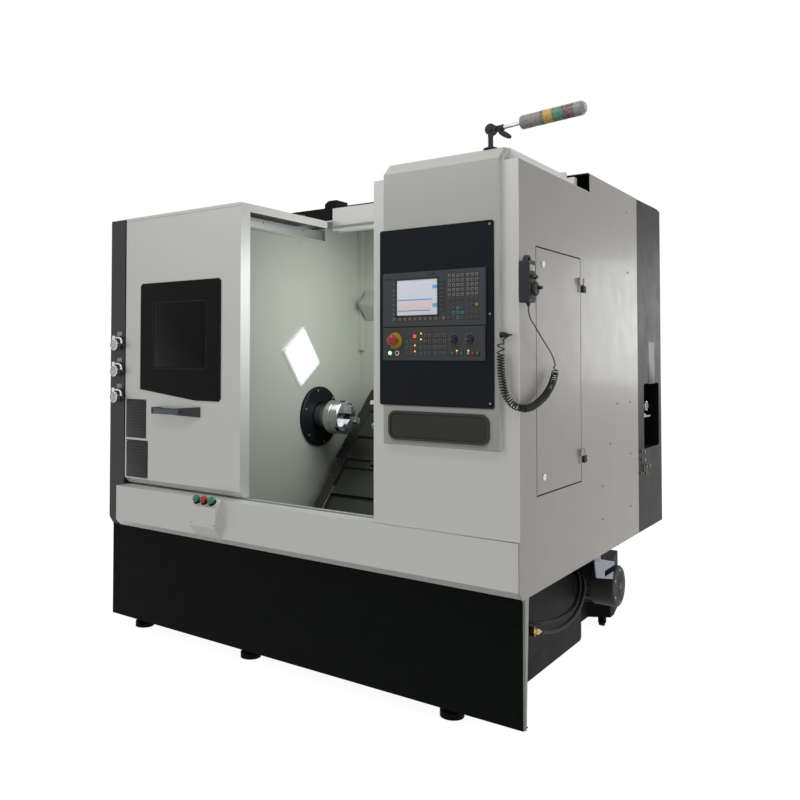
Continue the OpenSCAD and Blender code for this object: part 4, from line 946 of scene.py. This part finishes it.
letter_keys = key_grid(276, 172, 4, 5) + key_grid(349, 172, 3, 5)
quiet_keys = key_grid(276, 172 - 5 * pitch, 4, 1) + key_grid(349, 172 - 5 * pitch, 3, 1) + key_grid(349, 38, 3, 2) \
    + [(unit[0] + 349 + pitch + 5, unit[1] + 71, 0)]
cursor = [(unit[0] + 276 + pitch * i + 5, unit[1] + 56 - pitch * j + 5, 0) for i, j in
          ((2, 0), (1, 1), (2, 1), (3, 1), (2, 2))]
corner_keys = [(unit[0] + 276 + pitch * i + 5, unit[1] + 56 - pitch * j + 5, 0) for i, j in
               ((0, 0), (1, 0), (3, 0), (0, 1), (0, 2), (1, 2), (3, 2))]
for name, spots, rim in (("letter_key", letter_keys, key_line), ("quiet_key", quiet_keys, keys_grey),
                         ("cursor_key", cursor, teal), ("corner_key", corner_keys, keys_grey)):
    fitted(repeated(name + "_rims", flat("rim", (-5, -5, 98.4), (5, 5, 98.9), 1.2, 0.2), spots), front, rim)
    fitted(repeated(name + "_centres", flat("centre", (-3.6, -3.6, 98.6), (3.6, 3.6, 99.3), 0.8, 0.3), spots), front,
           key_dark)
    dash = flat("dash", (-1.6, -0.6, 99.2), (1.6, 0.6, 99.4), soft=0.05)
    fitted(repeated(name + "_dashes", dash, spots), front, rim)
select_key = flat("select_key", (unit[0] + 382.8, unit[1] + 66, 98.4), (unit[0] + 392.8, unit[1] + 76, 99.6), 1.2, 0.3)
fitted(select_key, front, yellow_plastic)
soft_keys = [(unit[0] + 76 + 21.4 * i + (11 if i == 8 else 0) - (4 if i == -1 else 0), unit[1] + 27, 0)
             for i in range(-1, 9)]
fitted(repeated("soft_keys", flat("soft", (-6.6, -5.6, 98.4), (6.6, 5.6, 99.4), 2, 0.5), soft_keys), front, keys_grey)
fitted(repeated("soft_key_notches", flat("notch", (-3.4, -0.7, 99.3), (3.4, 0.7, 99.6), soft=0.1),
                [(x, z + 1.5, 0) for x, z, _ in soft_keys[1:9]]), front, key_dark)
side_keys = [(unit[0] + 251, unit[1] + 162.5 - 15 * j, 0) for j in range(8)]
fitted(repeated("side_keys", flat("side_key", (-9.4, -4, 98.4), (9.4, 4, 99.4), 1.4, 0.4), side_keys), front,
       finish_of("side_key_grey", (58, 60, 60), 0.5, drift=0.08, drift_scale=60))
fitted(repeated("screen_marks", flat("mark", (-1.6, -2.2, 97), (1.6, 2.2, 97.3), soft=0.05),
                [(-480, z, 0) for z in (1452, 1468, 1486, 1504, 1522, 1540, 1562)]), front, key_line)
for name, low, high in (("unit_plate_left", (-519, 1579), (-490, 1586)),
                        ("unit_plate_top", (-337, 1589), (-302, 1594))):
    fitted(flat(name, low + (96.8,), high + (97.3,), 1, 0.1), front, dark_plate)
print(len(letter_keys) + len(quiet_keys) + len(cursor) + len(corner_keys), "square keys")

# %% [markdown]
# The operator panel below it has larger keys, small amber lamps over four of them, a lit red and
# a lit green button, six round buttons and two dials. A dial is read against a ring of ticks that
# leaves out the lowest quarter. The stop button stands on a yellow disc.

# %% Operator panel
panel_keys = [(unit[0] + x + 17.5 * i, 1304.5 + 21.4 * j, 0) for x, rows in ((105, 3), (165, 4), (226, 4))
              for i in range(3) for j in range(rows)]
fitted(repeated("panel_key_caps", flat("cap", (-5.8, -5.8, 96.4), (5.8, 5.8, 97.4), 1.2, 0.5), panel_keys), front,
       keys_grey)
fitted(repeated("panel_key_marks", sunk(flat("mark", (-2.6, -3.4, 97.3), (2.6, 3.4, 97.7), 0.6, 0.1), 1.1, 0.3),
                panel_keys), front, key_dark)
leds = [(-363.9, 1377.2), (-363.9, 1355.6), (-389.4, 1333.7), (-389.4, 1311.7), (-218.5, 1313.5), (-174, 1313.5)]
fitted(repeated("panel_lamps", spun("led", [(0, 96.6), (3, 96.6), (3, 97.8), (2, 98.8), (0, 99.2)], 16),
                [p + (0,) for p in leds]), front, signal_amber)
button = [(0, 96.6), (6.2, 96.6), (6.2, 98.2), (5.2, 99.0), (0, 99.4)]
collar = [(6.4, 96.6), (7.6, 96.6), (7.6, 97.6), (7, 98.2), (6.4, 97.8)]
for mat, xs in ((green_plastic, (-236, -201, -139)), (red_plastic, (-218.5, -156.5)), (beige_plastic, (-174,))):
    fitted(repeated(mat.name + "_buttons", spun("button", button, 24), [(x, 1304.5, 0) for x in xs]), front, mat)
fitted(repeated("button_rims", spun("rim", collar, 24), [(x, 1304.5, 0) for x in (-236, -218.5, -201, -174, -156.5,
                                                                               -139)]), front, key_dark)
big = [(0, 96.6), (6.6, 96.6), (6.6, 99.5), (5.4, 100.6), (0, 101)]
fitted(repeated("run_button", spun("run", big, 32), [(-496, 1306, 0)]), front, signal_green)
fitted(repeated("halt_button", spun("halt", big, 32), [(-465.5, 1306, 0)]), front, dim_red)
fitted(repeated("alarm_key", flat("alarm", (-6.2, -6, 96.6), (6.2, 6, 98.8), 1.6, 0.6), [(-390, 1367, 0)]), front,
       signal_red)
fitted(repeated("run_halo", spun("halo", [(7, 96.4), (9.6, 96.4), (9.6, 97.2), (8.6, 98), (7, 98)], 32),
                [(-496, 1306, 0)]), front, halo_green)
fitted(repeated("halt_rim", spun("halo", [(7, 96.4), (9, 96.4), (9, 97.2), (8, 97.8), (7, 97.8)], 32),
                [(-465.5, 1306, 0)]), front, chrome)
stop = (-475, 1352)
disc = spun("stop_disc", [(12.2, 96.0), (30, 96.0), (30, 96.8), (29, 97.2), (25, 97.2), (24.6, 97.0), (24.2, 97.2),
                          (12.2, 97.2)], 64)
fitted(repeated("stop_disc", disc, [stop + (0,)]), front, yellow_plastic)
for k, x in enumerate((-230, -167)):
    spots = [(x + 21 * math.cos(a), 1354 + 21 * math.sin(a), 0, a)
             for a in (math.radians(-45 + 13.5 * n) for n in range(21))]
    fitted(repeated("dial_ticks_%d" % (k + 1), flat("tick", (-1.9, -0.4, 95.1), (1.9, 0.4, 95.4), soft=0.05), spots),
           front, key_line)
for name, x, body in (("feed_pointer", -230, "feed_knob"), ("speed_pointer", -167, "speed_knob")):
    pointer = flat(name, (x - 10, 1353.3, 113.3), (x - 1, 1354.7, 113.8), soft=0.1)
    fitted(pointer, front, key_line, body)
print(len(panel_keys), "panel keys,", len(leds), "lamps")

# %% [markdown]
# The low window of the column is a tinted pane deep inside its black frame. The pendant has a
# scale and a knurled rim on its hand wheel, two pointer knobs and a light rim. The round latches
# of the access door are chromed.

# %% Low window and pendant
fitted(flat("low_window_pane", (-500, 992, 88.6), (-106, 1084, 90.2), 24, 0.4), front, low_glass)
wheel_at = (-53, 1523)
teeth = flat("tooth", (-1.2, -0.9, 0), (1.2, 0.9, 6), soft=0.3)
spots = [(x, y, 53, a) for x, y, _, a in ring_spots(wheel_at, 23.6, 36)]
fitted(repeated("wheel_teeth", teeth, spots), wall, plastic, "hand_wheel")
fitted(repeated("wheel_knob", spun("knob", [(0, 61), (5, 61), (6, 63), (6, 72), (4.4, 75), (0, 75.6)], 24),
                [(wheel_at[0] + 13, wheel_at[1] + 4, 0)]), wall, plastic, "hand_wheel")
fitted(repeated("wheel_scale", spun("scale", [(24.6, 45.9), (26, 45.9), (26, 46.6), (24.6, 46.6)], 48),
                [wheel_at + (0,)]), wall, key_line)
marks = [(x, y, 0, a) for x, y, _, a in ring_spots(wheel_at, 25.2, 50)]
fitted(repeated("wheel_marks", flat("mark", (-1, -0.25, 46.5), (1, 0.25, 46.8), soft=0.05), marks), wall, key_dark)
for k, y in enumerate((-66, -38)):
    knob = flat("selector_%d" % (k + 1), (y - 6.4, 1562.6, 53.6), (y + 6.4, 1567.4, 59), 1.6, 0.8)
    fitted(knob, wall, plastic)
    line = flat("selector_line_%d" % (k + 1), (y - 6, 1564.6, 58.9), (y - 1, 1565.4, 59.2), soft=0.05)
    fitted(line, wall, key_line)
fitted(flat("pendant_plate", (-74, 1585, 43.8), (-31, 1605, 44.5), 3, 0.2), wall, pale_plate)
fitted(repeated("pendant_screws", screw("pendant_screw", 2.2), [(y, z, 44) for y in (-75, -30) for z in (1483, 1613)]),
       wall, zinc)
print("pendant with", len(marks), "marks")

# %% [markdown]
# The lamp's tower is still in the clear film of its packing. The film is a tube a little wider
# than the tower. Cut into many rings, pushed about by a cloud texture and shown mostly clear, it
# looks crumpled. Rings between the lenses and two screws at the pivot complete the arm.

# %% Lamp tower
rise = math.radians(3.7)
pivot = (-122, -15, 2104)
tower = side_of(pivot, (0, 1, 0), (-math.sin(rise), 0, math.cos(rise)))
film = bpy.data.materials.new("clear_film")
film.use_nodes = True
bsdf = film.node_tree.nodes["Principled BSDF"]
bsdf.inputs["Base Color"].default_value = tone(238, 238, 236)
bsdf.inputs["Roughness"].default_value = 0.12
crease = film.node_tree.nodes.new("ShaderNodeTexNoise")
crease.inputs["Scale"].default_value = 90
crease.inputs["Detail"].default_value = 4
crease_range = film.node_tree.nodes.new("ShaderNodeMapRange")
crease_range.inputs["From Min"].default_value = 0.35
crease_range.inputs["From Max"].default_value = 0.7
crease_range.inputs["To Min"].default_value = 0.03
crease_range.inputs["To Max"].default_value = 0.4
film.node_tree.links.new(film.node_tree.nodes.new("ShaderNodeTexCoord").outputs["Object"], crease.inputs["Vector"])
film.node_tree.links.new(crease.outputs["Fac"], crease_range.inputs["Value"])
film.node_tree.links.new(crease_range.outputs["Result"], bsdf.inputs["Alpha"])

film_from, film_to, film_radius = 117, 332, 24.5
bpy.ops.object.select_all(action="DESELECT")
bpy.ops.mesh.primitive_cylinder_add(vertices=56, radius=film_radius, depth=film_to - film_from,
                                    end_fill_type="NOTHING", location=(6, 0, (film_from + film_to) / 2))
wrap = bpy.context.object
wrap.name = "film_wrap"
bpy.ops.object.transform_apply(location=True, rotation=True, scale=True)
choose(wrap, "EDGE", lambda e: abs((e.verts[0].co - e.verts[1].co).normalized().z) > 0.9)
bpy.ops.mesh.subdivide(number_cuts=60)
done()
clouds = bpy.data.textures.new("creases", "CLOUDS")
clouds.noise_scale, clouds.noise_depth = 11, 3
creased = wrap.modifiers.new("creases", "DISPLACE")
creased.texture, creased.strength, creased.mid_level = clouds, 1.9, 0.4
only(wrap)
bpy.ops.object.modifier_apply(modifier="creases")
fitted(wrap, tower, film, "lamp_arm")
bands = [(189, 24.4), (195, 24.6), (230, 24.6), (265, 24.6), (300, 24.6)]
band = spun("band", [(23, -1), (24.5, -1), (24.5, 1), (23, 1)], 48)
fitted(repeated("lens_bands", band, [(6, 0, z) for z, _ in bands]), tower, plastic, "lamp_arm")
fitted(repeated("arm_screws", screw("arm_screw", 4), [(0, 0, -8), (0, 12, -8)]), tower, zinc, "lamp_arm")
print("lamp tower with", len(bands), "bands")

# %% [markdown]
# Behind, the cabinet's doors turn on lift off hinges and shut with flush latches. On the right
# side of the cabinet are small hose connectors, and a bare label place. The air unit in its
# recess gets its colours: an orange ring, a black guard round its bowl, a white lever and a yellow tag.

# %% Rear cabinet and air unit
hinge = spun("hinge", [(0, 0), (6, 0), (6, 46), (5, 47), (5, 49), (6, 50), (6, 96), (0, 96)], 20)
spots = [(x, z, 1740) for x in (1484, 16) for z in (700, 1250, 1800)]
only(hinge)
hinge.rotation_euler = (-math.pi / 2, 0, 0)
bpy.ops.object.transform_apply(location=True, rotation=True, scale=True)
fitted(repeated("rear_hinges", hinge, spots), rear, black_enamel)
latch = sunk(flat("latch", (-14, -48, 1743), (14, 48, 1745.8), 12, 1), 4, 2)
fitted(repeated("rear_latches", latch, [(806, 1250, 0), (694, 1250, 0)]), rear, plastic)
fitted(repeated("latch_cylinders", spun("lock", [(0, 1743), (7, 1743), (7, 1745.4), (5.6, 1745.9), (0, 1745.9)], 24),
                [(806, 1232, 0), (694, 1232, 0)]), rear, chrome)
ports = [(1393, 840), (1399, 801), (1423, 765), (1475, 765), (1422, 746), (1371, 737), (1447, 729)]
port = [(0, 0), (8, 0), (8, 4), (6, 5), (6, 11), (7, 12), (7, 15), (3.4, 15), (3.4, 8), (0, 8)]
fitted(repeated("hose_ports", spun("port", port, 24), [p + (0,) for p in ports[:4]]), wall, zinc)
fitted(repeated("brass_ports", spun("port", [(r * 0.7, h * 0.8) for r, h in port], 24), [p + (0,) for p in ports[4:]]),
       wall, brass)
fitted(flat("label_place", (1512, 1163, -0.3), (1625, 1370, 0.6), 4, 0.2), wall, dark_plate)
bowl_y, gauge_y = 1454, 1532
fitted(repeated("regulator_ring", spun("ring", [(14.2, 1107), (16.5, 1107), (16.5, 1112), (14.2, 1112)], 32),
                [(-38, bowl_y, 0)]), top, finish_of("ring_orange", (206, 84, 44), 0.4, drift=0.05))
fitted(repeated("bowl_guard", spun("guard", [(17.2, 940), (19, 940), (19, 990), (17.2, 990)], 32), [(-38, bowl_y, 0)]),
       top, plastic)
fitted(repeated("air_gauge_face", spun("face", [(0, -18.2), (20, -18.2), (20, -17.4), (0, -17.4)], 32),
                [(gauge_y, 1052, 0)]), wall, dial_grey)
fitted(repeated("air_gauge_rim", spun("rim", [(20, -19), (23.6, -19), (23.6, -14.6), (21, -13.6), (20, -14.6)], 32),
                [(gauge_y, 1052, 0)]), wall, chrome)
fitted(repeated("air_gauge_ticks", flat("tick", (-1.6, -0.4, -17.5), (1.6, 0.4, -17.2), soft=0.05),
                [(x, y, 0, a) for x, y, _, a in ring_spots((gauge_y, 1052), 16.5, 12)]), wall, plastic)
fitted(flat("air_lever", (1446, 999, -10.4), (1570, 1007, -7.6), 3, 0.6), wall, pale_plate)
fitted(flat("air_tag", (1531, 899, -64.2), (1583, 976, -63), 3, 0.3), wall, yellow_plastic)
print(len(ports), "ports and the air unit's details")

# %% [markdown]
# Below the side wall the pump motor shows its end: six bolts, a ring of slats and a small hub.
# The feet have lock nuts, and the slotted bracket is bolted through its upper end.

# %% Motor, tank and feet
motor_at = (1038, 272)
fitted(repeated("motor_bolts", screw("motor_bolt", 6), [(s[0], s[1], -4) for s in ring_spots(motor_at, 72, 6, 30)]),
       wall, zinc)
grille = [(s[0], s[1], 0, s[3]) for s in ring_spots(motor_at, 36, 18)]
fitted(repeated("motor_grille", flat("slat", (-24, -1.6, -4.4), (24, 1.6, -2.6), soft=0.5), grille), wall, plastic)
fitted(repeated("motor_hub", spun("hub", [(0, -4), (14, -4), (14, -1.6), (10, -0.6), (0, -0.4)], 32),
                [motor_at + (0,)]), wall, plastic)
fitted(repeated("foot_nuts", spun("nut", [(0, -14), (15, -14), (23, -14), (23, -7), (15, -7), (0, -7)], 6),
                [(x, y, 0) for x in (-2055, -1345, -335) for y in (82, 960)]), top, zinc)
fitted(repeated("bracket_bolts", screw("bracket_bolt", 6), [(712, 448, -3), (760, 440, -3)]), wall, zinc)

# %% [markdown]
